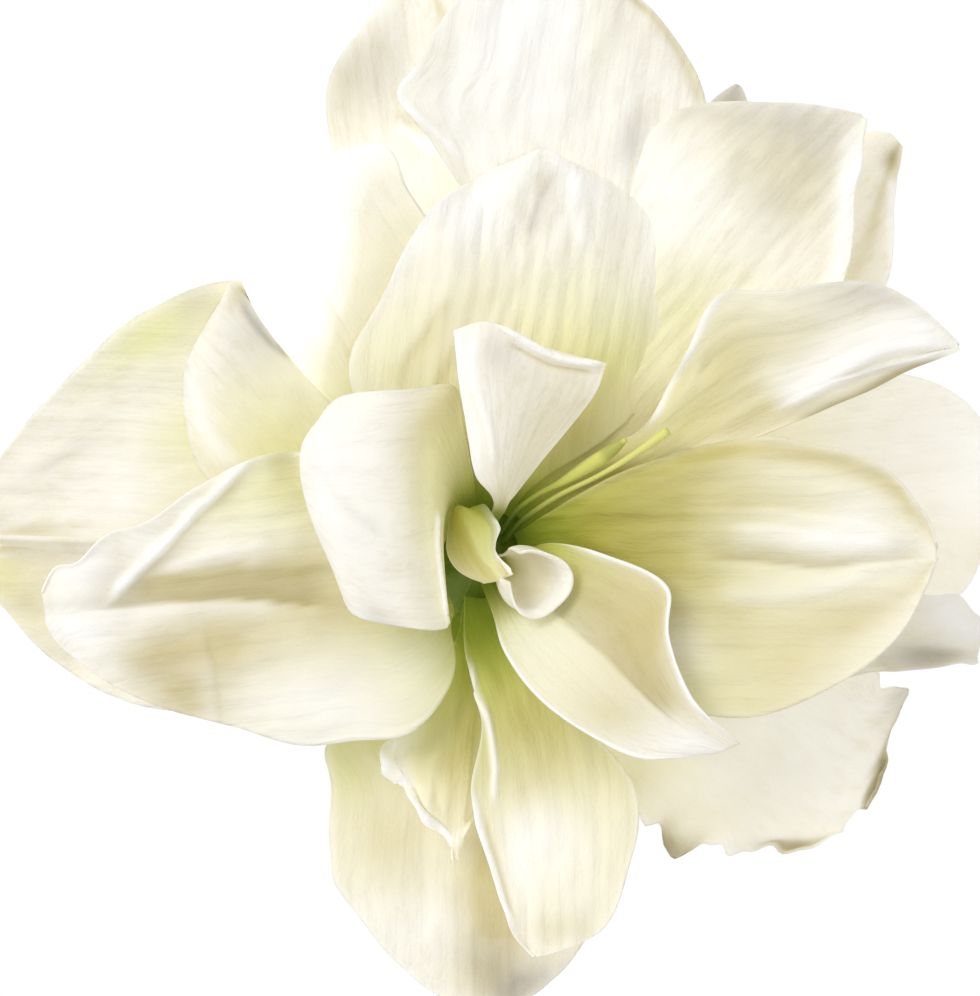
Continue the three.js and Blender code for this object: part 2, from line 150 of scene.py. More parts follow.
def between(rows, x):  # the row at x, straight between its neighbours
    i = min(int(x), len(rows) - 2)
    return [a + (b - a) * (x - i) for a, b in zip(rows[i], rows[i + 1])]


def smooth(x):
    x = min(max(x, 0.0), 1.0)
    return x * x * (3 - 2 * x)


def hump(x, low, high, soft):  # 1 between low and high, falling off over soft
    return smooth((x - low) / soft + 0.5) * smooth((high - x) / soft + 0.5)


def polar(radius, angle, height=0.0):
    return Vector((radius * math.cos(angle), radius * math.sin(angle), height))


drape = {"reach": 9, "rounds": 10}  # reach in mm, and rounds of smoothing


def settle(bm, places, across, along, below, gaps):  # margins come down onto the petals behind
    drops = [0.0] * len(places)
    for k, (vert, (u, q)) in enumerate(zip(bm.verts, places)):
        weight = smooth((abs(u) - 0.3) / 0.7) * smooth(q * 3 - 0.4)
        if weight > 0:
            hit = below.ray_cast(vert.co, -viewAxis, drape["reach"] * mm)[3]
            drops[k] = weight * max(hit - gaps[u < 0] * mm, 0) if hit else 0
    row, last = across + 1, len(drops) - 1
    for _ in range(drape["rounds"]):
        drops = [
            (drops[k] * 2 + drops[k - (k % row > 0)] + drops[k + (k % row < across)]
             + drops[max(k - row, 0)] + drops[min(k + row, last)]) / 6
            for k in range(last + 1)
        ]
    for vert, drop in zip(bm.verts, drops):
        vert.co -= viewAxis * drop


def gridMesh(point, across, along, closed=False, marks=None, below=None, gaps=None):
    bm = bmesh.new()
    bmesh.ops.create_grid(bm, x_segments=across, y_segments=along, size=1.0)
    uv = bm.loops.layers.uv.new("sheet")
    for face in bm.faces:
        face.smooth = True
        for loop in face.loops:
            x, y, _ = loop.vert.co
            loop[uv].uv = ((x + 1) / 2, (y + 1) / 2)
    places = [(vert.co.x, (vert.co.y + 1) / 2) for vert in bm.verts]
    for vert, place in zip(bm.verts, places):
        vert.co = point(*place)
    if below:
        settle(bm, places, across, along, below, gaps)
    if marks:  # the sheet's patches of painted highlight and painted shade, and its small relief
        shade = bm.verts.layers.float_color.new("shade")
        span = bm.loops.layers.uv.new("span")
        bm.normal_update()
        lifts = []
        for vert, place in zip(bm.verts, places):
            vert[shade], lift, aside = marks(*place)
            lifts.append(vert.normal * (-lift * mm))
            for loop in vert.link_loops:
                loop[span].uv = (aside, place[1])
        for vert, lift in zip(bm.verts, lifts):
            vert.co += lift
    if closed:
        bmesh.ops.remove_doubles(bm, verts=bm.verts[:], dist=0.02 * mm)
    return bm


def outwards(bm):
    bmesh.ops.recalc_face_normals(bm, faces=bm.faces[:])
    return bm


def closeEnds(bm):
    bmesh.ops.holes_fill(bm, edges=[edge for edge in bm.edges if edge.is_boundary])
    return outwards(bm)


def meshObject(name, bm, paint=None):
    mesh = bpy.data.meshes.new(name)
    bm.to_mesh(mesh)
    bm.free()
    made = bpy.data.objects.new(name, mesh)
    bpy.context.collection.objects.link(made)
    if paint:
        mesh.materials.append(paint.material)
    return made


def piece(name, bm, paint, node, thickness=0.0):
    made = meshObject(name, bm, paint)
    if thickness:  # in mm, half on each side of the sheet
        solid = made.modifiers.new("Thickness", "SOLIDIFY")
        solid.thickness, solid.offset = thickness * mm, 0.0
    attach(made, "root")
    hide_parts(node)
    return made


# the flower's frame: its own up is the way that it faces
flowerPlace = {"height": 428, "reach": 62, "tilt": 12}
flowerCentre = Vector((0, -flowerPlace["reach"], flowerPlace["height"])) * mm
flowerMatrix = (
    Matrix.Translation(flowerCentre)
    @ Matrix.Rotation(math.radians(90 - flowerPlace["tilt"]), 4, "X")
    @ Matrix.Scale(mm, 4)
)
viewAxis = (flowerMatrix.to_3x3() @ Vector((0, 0, 1))).normalized()

trumpetSizes = {  # at level 0, and what each level forward adds
    "mouth": (12, -0.75), "foot": (-6, 0.5), "depth": (14, 1.7), "flare": (-0.08, 0.04), "rise": (7, 0),
}


def trumpet(level):
    return [start + step * level for start, step in trumpetSizes.values()]


def trumpetHeight(horn, r):
    mouth, foot, depth, flare, rise = horn
    return foot + depth * (1 - math.exp(-(r - mouth) / rise)) + flare * (r - mouth)


def trumpetSlope(horn, r):
    mouth, _, depth, flare, rise = horn
    return depth / rise * math.exp(-(r - mouth) / rise) + flare


plainPetal = {  # what a petal has unless its own dictionary differs
    "sway": [0, 0], "cup": 0, "tip": 0, "fold": 0.7, "curl": (0, 0), "frill": (0, 5, 0), "ragged": (0, 9),
    # patches and folds are painted highlight, painted shade and green tint, with their lifts
    "outline": [], "crumple": 1.0, "pleats": (0, 1), "patches": [], "folds": [], "gaps": (0.4, 0.4),
    # glow is a painted glow from the emission, rim a painted highlight along the margins, and pale above 1
    # a brighter painted glow where the highlight is painted
    "glow": 0.09, "veins": 0.35, "warm": 26, "green": 12, "rim": 0.45, "bareRim": 0, "pale": 1, "turn": 0,
    "roughness": 0.58, "gloss": 0.3, "relief": 0.32,
}
unevenness = {  # height in mm, then how fast it changes along and across
    "broad": [(0.7, 0.07), (0.25, 0.22)], "crumples": [(0.8, 0.2, 0.06), (0.4, 0.45, 0.16)],
}
spineSteps = 300
fullTurn = 6.28  # radians, for the waves of a margin and for a crumb's turn


def crowded(q):  # rows stand closer together towards the tip
    return 1 - (1 - q) ** 1.5


def sideWidth(sizes, u, q):
    return through(sizes["left" if u > 0 else "right"], q)


def petalSurface(sizes):
    horn = trumpet(sizes["level"])
    mouth, step = horn[0], sizes["long"] / spineSteps
    rho, phi = mouth, math.radians(sizes["turn"])
    spine = []
    for i in range(spineSteps + 1):
        bearing = math.radians(through(sizes["sway"], i / spineSteps))
        spine.append((rho, phi, bearing))
        rho += math.cos(bearing) / math.hypot(1, trumpetSlope(horn, rho)) * step
        phi += math.sin(bearing) / rho * step
    frill, waves, phase = sizes["frill"]
    ragged, teeth = sizes["ragged"]
    pleatHeight, pleatWidth = sizes["pleats"]
    seed = sizes["turn"] * 0.37 + sizes["level"] * 3.1

    def halfWidth(u, q, s):
        half = sideWidth(sizes, u, q)
        for side, centre, reach, more in sizes["outline"]:
            if side * u > 0:
                half += more * math.exp(-((s - centre) / reach) ** 2)
        return max(half, 0.3)

    def surface(u, q):
        s = crowded(q)
        rho, phi, bearing = between(spine, s * spineSteps)
        half = halfWidth(u, q, s)
        side = 1 if u > 0 else -1
        t = u * half
        if ragged:
            rim = smooth(abs(u) * 4 - 3) * smooth(s * 6 - 1)
            jag = math.sin(teeth * fullTurn * s + seed) + 0.6 * math.sin(teeth * 14.3 * s + 2 * seed + side)
            t += side * rim * ragged * jag * min(1, half / 6)
        slant = 1 / math.hypot(1, trumpetSlope(horn, rho))
        apex, aside = rho / slant - t * math.sin(bearing), t * math.cos(bearing)
        far = max(math.hypot(apex, aside) * slant, 0.5)
        angle = phi + math.atan2(aside, apex) / slant
        height = trumpetHeight(horn, max(far, mouth * 0.6))
        slope = trumpetSlope(horn, far)
        flat = 1 / math.hypot(1, slope)
        grow = smooth(s / 0.45)
        fold = max(0, (abs(u) - sizes["fold"]) / (1 - sizes["fold"])) ** 2
        lift = sizes["cup"] * u * u * grow + sizes["tip"] * smooth((s - 0.55) / 0.45)
        lift += sizes["curl"][u <= 0] * fold * grow
        lift += frill * abs(u) ** 3 * math.sin(fullTurn * waves * s + phase + (1.9 if u < 0 else 0)) * grow
        pleat = math.sin(2 * math.pi * (t / pleatWidth + 0.6 * noise.noise(Vector((t * 0.1, s * 6, seed)))))
        lift += pleatHeight * pleat * smooth((s - 0.35) * 4) * smooth((0.95 - s) * 6) * (1 - u * u)
        for rise, scale in unevenness["broad"]:
            lift += grow * rise * noise.noise(polar(far, angle, seed) * scale)
        for rise, across, along in unevenness["crumples"]:
            spot = Vector((t * across, s * sizes["long"] * along, seed))
            lift += sizes["crumple"] * grow * rise * noise.noise(spot)
        return polar(far, angle, height) + lift * polar(-slope * flat, angle, flat)

    return surface


# petal colours, with painted highlights, painted shade and a painted glow
tints = {
    "white": (0.935, 0.91, 0.825),
    # painted highlight along the margins
    "rim": (0.975, 0.955, 0.86),
    "cream": (0.875, 0.83, 0.60),
    "vein": (0.80, 0.755, 0.60),
    "blotch": (0.94, 0.915, 0.85),
    "crinkle": (0.88, 0.85, 0.76),
    "base": (0.55, 0.56, 0.115),
    "throat": (0.33, 0.41, 0.045),
    # painted highlight
    "highlight": (0.985, 0.975, 0.945),
    # painted warm shade
    "khakiShade": (0.72, 0.66, 0.42),
    # painted grey shade
    "grey": (0.56, 0.54, 0.52),
    "green": (0.90, 0.92, 0.55),
}
kinds = {  # how much of the painted highlight, the painted warm shade, the painted grey shade and the green tint a patch has
    "highlight": (1, 0, 0, 0), "khakiShade": (0, 1, 0, 0), "grey": (0, 0, 1, 0), "green": (0, 0, 0, 1),
    # a dark painted shadow in creases and under lobes: warm and grey shade together
    "deepShade": (0, 1, 0.8, 0),
}


def lineNear(x, y, line, widths):  # 1 on the line, fading on each side over its own width
    best, reached = None, 0
    total = sum(math.dist(a, b) for a, b in zip(line, line[1:]))
    for (x0, y0), (x1, y1) in zip(line, line[1:]):
        dx, dy = x1 - x0, y1 - y0
        size = math.hypot(dx, dy) + 1e-9
        part = min(max(((x - x0) * dx + (y - y0) * dy) / size ** 2, 0), 1)
        away = math.hypot(x - x0 - part * dx, y - y0 - part * dy)
        if best is None or away < best[0]:
            best = (away, dx * (y - y0) - dy * (x - x0), (reached + part * size) / total)
        reached += size
    away, side, part = best
    ends = smooth(part * 5 + 0.1) * smooth((1 - part) * 5 + 0.1)
    return math.exp(-(away / widths[side < 0]) ** 2) * ends


# a patch, of painted highlight, painted shade or green tint: kind, place along and across, reach along and
# across, amount, lift in mm
# a fold, a line of painted highlight, painted shade or green tint: kind, its line of places along and
# across, width in mm for both sides or each, amount, lift
def petalMarks(sizes, halfAt, lengthwise):
    long = sizes["long"]

    def marks(u, q):
        s, half = lengthwise(q), halfAt(u, q)
        wobble = 0.35 * noise.noise(Vector((u * half * 0.12, s * long * 0.08, long)))
        found = []
        for kind, centre, aside, reach, spread, amount, rise in sizes["patches"]:
            near = math.exp(-((s - centre) / reach) ** 2 - ((u - aside) / spread) ** 2 + wobble) * amount
            found.append((kind, near, near * rise))
        for kind, line, width, amount, rise in sizes["folds"]:
            widths = width if isinstance(width, tuple) else (width, width)
            line = [(aside * half, centre * long) for centre, aside in line]
            near = lineNear(u * half + 2 * wobble, s * long, line, widths)
            found.append((kind, near * amount, near * rise))
        shares = (sum(kinds[kind][k] * amount for kind, amount, _ in found) for k in range(4))
        return [min(max(share, 0.0), 1.0) for share in shares], sum(rise for _, _, rise in found), u * half

    return marks


def petalPaint(name, finish):
    roughness, gloss, glow = finish["roughness"], finish["gloss"], finish["glow"]
    # the emission is a painted glow that lifts each petal's shade
    paint = Paint(name, Roughness=roughness, Specular_IOR_Level=gloss, Emission_Strength=glow)
    across, along = paint.place()
    u = across * 2 - 1
    span = paint.node("ShaderNodeUVMap", {"uv_map": "span"})
    aside = paint.node("ShaderNodeSeparateXYZ", None, {0: span})
    long, warm, green = finish["long"], finish["warm"], finish["green"]
    coordinates = paint.coordinates()
    drift = paint.noise(coordinates, 55, 2) - 0.5
    streakPlace = paint.vector(aside * 0.9 + drift * 1.2, along * 2.2, finish["turn"] * 0.13)
    streaks = paint.noise(streakPlace, 1.0, 4, 0.6)
    crinklePlace = paint.vector(aside * 0.45 + drift * 2, along * long * 0.14, finish["turn"] * 0.13)
    crinkles = paint.noise(crinklePlace, 1.0, 5, 0.65)
    ribs = ((aside * 2.1 + drift * 2).sine() + 1) * 0.5
    blotch = paint.noise(coordinates, 38, 4)
    veins = (streaks - 0.42) * 1.3 + ribs ** 3 * 0.35
    distance = along * long + (streaks - 0.5) * 6
    # painted highlight along the margins
    rim = abs(u).ramp(0.92, 1.0) * along.ramp(0.1, 0.3)
    if finish["bareRim"]:  # no painted rim highlight on the side whose margin doesn't show
        rim = rim * (u * finish["bareRim"]).ramp(-0.1, 0.1, 1.0, 0.0)
    # the painted highlight, painted warm shade, painted grey shade and green tint, from the sheet's shade
    # attribute
    shade = paint.node("ShaderNodeAttribute", {"attribute_name": "shade"})
    highlight, khakiShade, grey = paint.node("ShaderNodeSeparateColor", None, {0: shade}).outputs(0, 1, 2)
    tinge = shade.outputs(3)[0]
    broken = 1.35 - crinkles * 0.7
    colour = paint.coat(
        tints["white"],
        ((veins * finish["veins"]).ramp(0.0, 1.0), tints["vein"]),
        (blotch.ramp(0.35, 0.7, 0.0, 0.8), tints["blotch"], "MULTIPLY"),
        (crinkles.ramp(0.46, 0.7, 0.0, 0.6), tints["crinkle"], "MULTIPLY"),
        (distance.ramp(warm * 0.8, warm * 2.1, 1.0, 0.0), tints["cream"]),
        (distance.ramp(warm * 0.3, warm * 1.1, 1.0, 0.0), tints["base"]),
        (distance.ramp(green * 0.3, green, 1.0, 0.0), tints["throat"]),
        # painted rim highlight
        (rim * finish["rim"], tints["rim"]),
        (tinge * broken, tints["green"], "MULTIPLY"),
        # painted warm shade
        (khakiShade * broken, tints["khakiShade"], "MULTIPLY"),
        # painted grey shade
        (grey * broken, tints["grey"], "MULTIPLY"),
        # painted highlight on top
        (highlight, tints["highlight"]),
    )
    pale = finish["pale"]  # painted glow: the emission stands in for light that a thin petal lets through, brighter where the highlight is painted
    paint.set("Emission Color", paint.mix(highlight, colour, (pale, pale, pale)) if pale > 1 else colour)
    fine = paint.noise(coordinates, 2600, 2)
    paint.bump(veins * 0.9 + crinkles * 1.8 + fine * 0.2, finish["relief"], 0.65)
    return paint


petalMesh = {  # faces across and along, and the thickness in mm
    "back": (48, 90), "mid": (72, 120), "front": (72, 120), "inner": (60, 100), "ring": (72, 48),
    "thick": 0.4,
}


def blade(node, sizes, surface, marks, faces, behind=None):
    below = BVHTree.FromBMesh(behind) if behind and behind.verts else None
    bm = gridMesh(lambda u, q: flowerMatrix @ surface(u, q), *faces, False, marks, below, sizes["gaps"])
    made = piece(node + ".blade", bm, petalPaint(node, sizes), node, petalMesh["thick"])
    if behind:
        behind.from_mesh(made.data)


# outer petals, from the back to the front; turn is in degrees, left and right are half widths in mm; their
# patches and folds are painted highlight, painted shade and green tint
petals = {}
petals["petal_back_top_left"] = dict(
    level=0, turn=96.5, long=94, frill=(0.8, 4, 0), veins=0.5, glow=0.14,
    left=[4, 7, 12, 17.5, 18, 9, 0.5], right=[4, 10, 13, 14, 13, 8, 0.5],
    patches=[
        ("grey", 0.84, 0.6, 0.09, 0.4, 0.5, 0), ("khakiShade", 0.8, 0.75, 0.1, 0.3, 0.4, 0),
        ("khakiShade", 0.93, -0.35, 0.06, 0.12, 0.6, 0), ("highlight", 0.58, 0.5, 0.12, 0.6, 0.8, 0),
    ],
    folds=[
        ("khakiShade", [(0.75, 0.4), (0.69, 0), (0.63, -0.3)], 0.9, 0.6, -0.3),
        ("highlight", [(0.72, 0.4), (0.66, 0), (0.6, -0.3)], 0.8, 0.7, 0.5),
    ],
)
petals["petal_back_top_right"] = dict(
    level=1, turn=61.5, long=86,
    left=[3.5, 0.5, 3, 4, 4, 3, 0.5], right=[3.5, 7, 10, 11.5, 9.5, 6, 0.5],
    patches=[("grey", 0.95, 0, 0.2, 1, 0.8, 0)],
)
petals["petal_back_right"] = dict(
    level=0, turn=8, long=85, glow=0.22,
    left=[4.5, 10, 17.5, 21.5, 20.5, 14, 0.5], right=[4.5, 12.5, 17.5, 19, 16.5, 7.5, 0.5],
    outline=[(-1, 0.88, 0.07, 6)],
    patches=[("highlight", 0.8, 0.3, 0.2, 0.6, 0.6, 0), ("highlight", 0.97, 0, 0.1, 0.8, 0.6, 0)],
    folds=[("khakiShade", [(0.6, 0.8), (0.7, 0.86), (0.8, 0.98)], 1.0, 0.6, 0)],
)
petals["petal_back_lower_right"] = dict(
    level=1.5, turn=324, long=73, frill=(1.6, 5, 0.5), ragged=(0.8, 9), glow=0.22,
    left=[4.5, 8, 15.5, 21.5, 22.5, 19.5, 3], right=[4.5, 9.5, 16.5, 21, 16.5, 9.5, 3],
    outline=[(1, 0.94, 0.03, 4), (1, 0.984, 0.01, 3.2), (-1, 0.7, 0.03, 3.2), (-1, 0.88, 0.06, 1)],
    patches=[
        ("highlight", 0.75, 0.1, 0.2, 0.8, 0.6, 0), ("deepShade", 0.985, 0.85, 0.02, 0.22, 1.6, -1.2),
        ("deepShade", 0.92, -0.9, 0.05, 0.1, 1.1, -1.0), ("deepShade", 0.7, -1.08, 0.035, 0.18, 2.2, -1.5),
        ("deepShade", 0.953, 1.25, 0.01, 0.3, 1.6, -1.0), ("grey", 0.93, 0.95, 0.03, 0.2, 0.5, -0.8),
        ("khakiShade", 0.8, -0.3, 0.1, 0.5, 0.25, -0.4),
    ],
)
petals["petal_back_bottom"] = dict(
    level=0.5, turn=270, long=73.5, curl=(0.2, 0.2), veins=0.45, warm=26, glow=0.16,
    left=[5, 14, 20.5, 22, 18, 10.5, 0.5], right=[5, 16.5, 27, 26, 19.5, 10.5, 0.5],
    outline=[(-1, 0.5, 0.08, -1.2), (-1, 0.36, 0.06, 4), (-1, 0.69, 0.05, 1)],
    patches=[
        ("khakiShade", 0.6, -0.6, 0.12, 0.25, 0.45, -0.5), ("highlight", 0.8, -0.5, 0.09, 0.3, 0.4, 0.6),
        ("grey", 0.88, 0.05, 0.08, 0.25, 0.5, -0.8), ("grey", 0.94, 0.6, 0.06, 0.5, 1.2, -0.5),
        ("khakiShade", 0.9, -0.1, 0.1, 0.5, 0.6, -0.4), ("khakiShade", 0.78, 0.35, 0.1, 0.4, 0.7, -0.4),
        ("green", 0.45, -0.9, 0.08, 0.2, 0.4, 0),
    ],
    folds=[("khakiShade", [(0.5, 0.12), (0.62, 0.05), (0.72, 0.05), (0.83, 0.22)], (5, 3), 1.0, -0.5)],
)
petals["petal_back_lower_left"] = dict(
    level=0, turn=181, long=84, glow=0.14,
    left=[5, 29.5, 27.5, 25, 17.5, 6, 0.5], right=[5, 9.5, 10.5, 9, 6, 2, 0.5],
    patches=[
        ("khakiShade", 0.85, 0.5, 0.12, 0.6, 0.5, 0), ("green", 0.92, 0.3, 0.08, 0.6, 0.6, 0),
        ("khakiShade", 0.9, -0.7, 0.08, 0.25, 0.6, 0), ("highlight", 0.6, 0.9, 0.12, 0.2, 0.5, 0),
    ],
)
petals["petal_back_left"] = dict(
    level=1.5, turn=178, long=85, curl=(0, 0.6), veins=0.55,
    left=[4.5, 6.5, 5.5, 3, 2.5, 1.5, 0.5], right=[4.5, 36, 44.5, 39, 26.5, 13, 0.5],
    patches=[
        ("green", 0.63, -0.88, 0.12, 0.12, 0.9, 0), ("highlight", 0.72, -0.35, 0.1, 0.12, 0.5, 0.4),
        ("highlight", 0.68, -0.18, 0.06, 0.1, 0.6, 0.4), ("khakiShade", 0.88, -0.03, 0.08, 0.05, 0.7, -0.5),
        ("green", 0.52, -0.42, 0.12, 0.12, 0.6, 0), ("grey", 0.55, -0.95, 0.05, 0.12, 0.4, 0),
        ("grey", 0.8, -0.5, 0.07, 0.05, 0.35, -0.3),
    ],
)
petals["petal_back_upper_right"] = dict(
    level=2, turn=45, long=96, glow=0.2,
    left=[4.5, 5, 10, 12, 11, 7.5, 1.5], right=[4.5, 8.5, 15, 19, 16, 6, 1.5],
    patches=[("deepShade", 0.975, -0.5, 0.025, 0.5, 0.9, -0.8), ("khakiShade", 0.85, -0.6, 0.12, 0.14, 0.6, -0.6)],
    folds=[("highlight", [(0.82, -0.98), (0.9, -0.9), (0.95, -0.8)], 0.8, 0.6, 0.4)],
)
petals["petal_mid_right"] = dict(
    level=3, turn=349, long=84, curl=(0, 1), frill=(0.7, 6, 0.4),
    left=[4.5, 5.5, 9, 9, 8, 5, 0.5], right=[4.5, 10.5, 15, 14, 7.5, 4, 0.5],
    outline=[(1, 0.95, 0.05, 3.6), (1, 1.0, 0.02, 2.4), (-1, 1.0, 0.025, 1.8)],
    patches=[("grey", 0.89, -0.6, 0.08, 0.4, 0.9, -0.8), ("highlight", 0.94, 0.6, 0.08, 0.6, 0.9, 0)],
)
petals["petal_mid_upper_left"] = dict(
    level=3, turn=133, long=62, curl=(0.5, 0), fold=0.75, veins=0.6, rim=0.3,
    left=[4, 11.5, 20, 26, 22.5, 15, 0.5], right=[4, 8.5, 12.5, 11.5, 8.5, 3.5, 0.5],
    patches=[
        ("grey", 0.86, 0.0, 0.1, 0.35, 0.6, -0.3), ("khakiShade", 0.96, -0.1, 0.03, 0.4, 0.7, 0),
        ("green", 0.6, 0.5, 0.15, 0.3, 0.6, 0), ("highlight", 0.5, -0.7, 0.14, 0.4, 0.5, 0),
        ("highlight", 0.75, -0.5, 0.12, 0.25, 0.5, 0.4),
    ],
    folds=[
        ("grey", [(0.98, -0.05), (0.85, -0.12), (0.7, -0.15)], 0.8, 0.7, -0.5),
        ("grey", [(0.95, 0.1), (0.8, 0.1), (0.72, 0.05)], 0.7, 0.6, -0.4),
        ("highlight", [(0.92, 0.85), (0.8, 0.85), (0.6, 0.8)], 1.8, 0.6, 0.5),
    ],
)
petals["petal_mid_top"] = dict(
    level=3.8, turn=81.5, long=101.5,
    left=[3.5, 8.5, 13.5, 19, 22, 15.5, 0.5], right=[3.5, 9.5, 21, 26.5, 25, 14.5, 0.5],
    outline=[(1, 0.735, 0.045, 4.5), (1, 0.55, 0.09, -7)],
    patches=[
        ("highlight", 0.8, 0.3, 0.2, 0.6, 0.6, 0), ("highlight", 0.92, 0.2, 0.1, 0.6, 0.5, 0),
        ("grey", 0.72, -0.55, 0.05, 0.09, 0.5, -0.6), ("green", 0.88, -0.25, 0.06, 0.15, 0.35, 0),
    ],
    folds=[
        ("highlight", [(0.8, 0.97), (0.73, 0.97), (0.69, 0.9), (0.64, 0.8)], 0.8, 0.6, 0.5),
        ("khakiShade", [(0.98, -0.7), (0.93, -0.92), (0.86, -0.95), (0.78, -0.97)], 1.3, 0.7, -0.4),
    ],
)
petals["petal_mid_bottom"] = dict(
    level=3, turn=264.5, long=51.5, frill=(0.9, 7, 0), warm=34, green=18, glow=0.16,
    left=[3, 1, 2.5, 3, 3, 1, 0.5], right=[3, 3.5, 6.5, 12, 10, 2, 0.5],
    outline=[(-1, 0.7, 0.05, 2.6)],
    patches=[("khakiShade", 0.6, 0.1, 0.25, 0.6, 0.9, -0.5), ("highlight", 0.72, -0.85, 0.12, 0.2, 0.8, 0.6)],
    folds=[
        ("highlight", [(0.62, -1), (0.75, -0.97), (0.88, -0.92), (0.97, -0.7)], 1.2, 1.3, 0.9),
        ("grey", [(0.64, -0.86), (0.75, -0.8), (0.86, -0.72), (0.94, -0.4)], 0.5, 0.9, -0.6),
    ],
)
petals["petal_mid_upper_right"] = dict(
    level=4.5, turn=49, long=98.5, curl=(0, 0.8), veins=0.35, glow=0.13,
    left=[4.5, 5, 13, 19, 19.5, 10.5, 0.5], right=[4.5, 8, 15.5, 19, 14, 4.5, 0.5],
    outline=[(1, 0.78, 0.12, 5), (-1, 0.94, 0.03, 1.5)],
    patches=[
        ("grey", 0.93, 0.4, 0.07, 0.7, 0.55, -0.5), ("khakiShade", 0.85, 0.3, 0.09, 0.7, 0.6, -0.3),
        ("grey", 0.8, 0.1, 0.04, 0.25, 0.2, 0), ("grey", 0.84, 0.9, 0.03, 0.15, 0.3, -0.5),
        ("green", 0.52, 0.2, 0.14, 0.7, 0.5, 0), ("khakiShade", 0.33, 0, 0.15, 0.9, 0.6, 0),
        ("highlight", 0.68, 0.7, 0.1, 0.4, 0.5, 0),
    ],
    folds=[("highlight", [(0.66, -0.9), (0.8, -0.9), (0.9, -0.8), (0.99, -0.7)], 2.2, 0.9, 0.9)],
)
petals["petal_mid_top_left"] = dict(
    level=4.5, turn=121.5, long=75.5, veins=0.3, rim=0.2, glow=0.14, pale=2.7, crumple=0.5, warm=34,
    left=[4, 2, 8, 11, 11.5, 7.5, 0.5], right=[4, 8.5, 16, 20.5, 20.5, 20, 0.5],
    patches=[
        ("highlight", 0.86, 0.75, 0.2, 1.1, 1.6, 0), ("highlight", 0.99, 0.2, 0.07, 1.5, 1.4, 0),
        ("highlight", 0.5, 0.2, 0.16, 0.9, 0.45, 0),
    ],
    folds=[
        ("highlight", [(0.85, -1.05), (0.63, -0.35), (0.5, 0.35), (0.35, 0.9)], 5.0, -1.2, 0),
        ("khakiShade", [(0.8, -0.95), (0.63, -0.35), (0.5, 0.35), (0.35, 0.9)], 3.5, 0.25, 0),
    ],
)
petals["petal_front_left"] = dict(
    level=5, turn=187.5, long=78, curl=(0, 0.6), fold=0.8, glow=0.12, warm=20, green=5,
    left=[4, 24.5, 28.5, 23, 17.5, 10, 0.5], right=[4, 15.5, 21, 17, 9, 3.5, 0.5],
    outline=[
        (-1, 0.86, 0.08, 4), (-1, 0.97, 0.04, 4), (1, 0.99, 0.03, 2), (1, 0.16, 0.05, -3.4),
        (1, 0.31, 0.06, 2.6),
    ],
    patches=[
        ("khakiShade", 0.79, 0.8, 0.1, 0.45, 0.5, -0.4), ("grey", 0.78, 0.6, 0.1, 0.4, 0.2, 0),
        ("khakiShade", 0.5, 0.4, 0.16, 0.3, 0.5, 0), ("khakiShade", 0.67, 0.4, 0.13, 0.4, 0.45, 0),
        ("highlight", 0.42, 0.75, 0.18, 0.3, 0.7, 1.5), ("khakiShade", 0.36, 0.22, 0.1, 0.14, 0.35, -1.0),
        ("khakiShade", 0.55, -0.05, 0.22, 0.15, 0.65, -0.9), ("khakiShade", 0.72, 0.85, 0.05, 0.2, 0.4, -0.8),
        ("khakiShade", 0.83, 0.6, 0.06, 0.15, 0.35, -0.7), ("khakiShade", 0.7, 0.45, 0.12, 0.12, 0.35, 0),
        ("highlight", 0.93, 0.4, 0.07, 0.35, 0.9, 0.8), ("green", 0.5, -0.75, 0.14, 0.3, 0.6, 0),
        ("highlight", 0.91, -0.6, 0.06, 0.5, 0.8, 0.5),
    ],
    folds=[
        ("highlight", [(0.5, -1.05), (0.66, -0.8), (0.76, -0.55), (0.84, -0.2), (0.88, 0.08)],
         (0.9, 0.7), 0.9, 1.0),
        ("khakiShade", [(0.54, -0.9), (0.7, -0.62), (0.79, -0.3), (0.83, -0.05)], (0.6, 4), 0.35, -0.5),
        ("deepShade", [(0.36, 0.22), (0.5, 0.14), (0.6, 0.1), (0.75, 0.08), (0.94, 0.04)], (5, 0.4), 0.5, -0.9),
        ("highlight", [(0.5, 0.16), (0.66, 0.14), (0.84, 0.12)], (0.5, 2), 0.4, 0.3),
        ("khakiShade", [(0.55, -0.2), (0.65, -0.22), (0.8, -0.25)], (0.4, 3), 0.4, -0.4),
        ("highlight", [(0.5, -0.3), (0.6, -0.32), (0.76, -0.36)], 0.7, 0.4, 0.3),
        ("khakiShade", [(0.665, 1.1), (0.66, 0.6), (0.67, 0.25)], (5, 0.6), 0.3, -0.4),
    ],
)
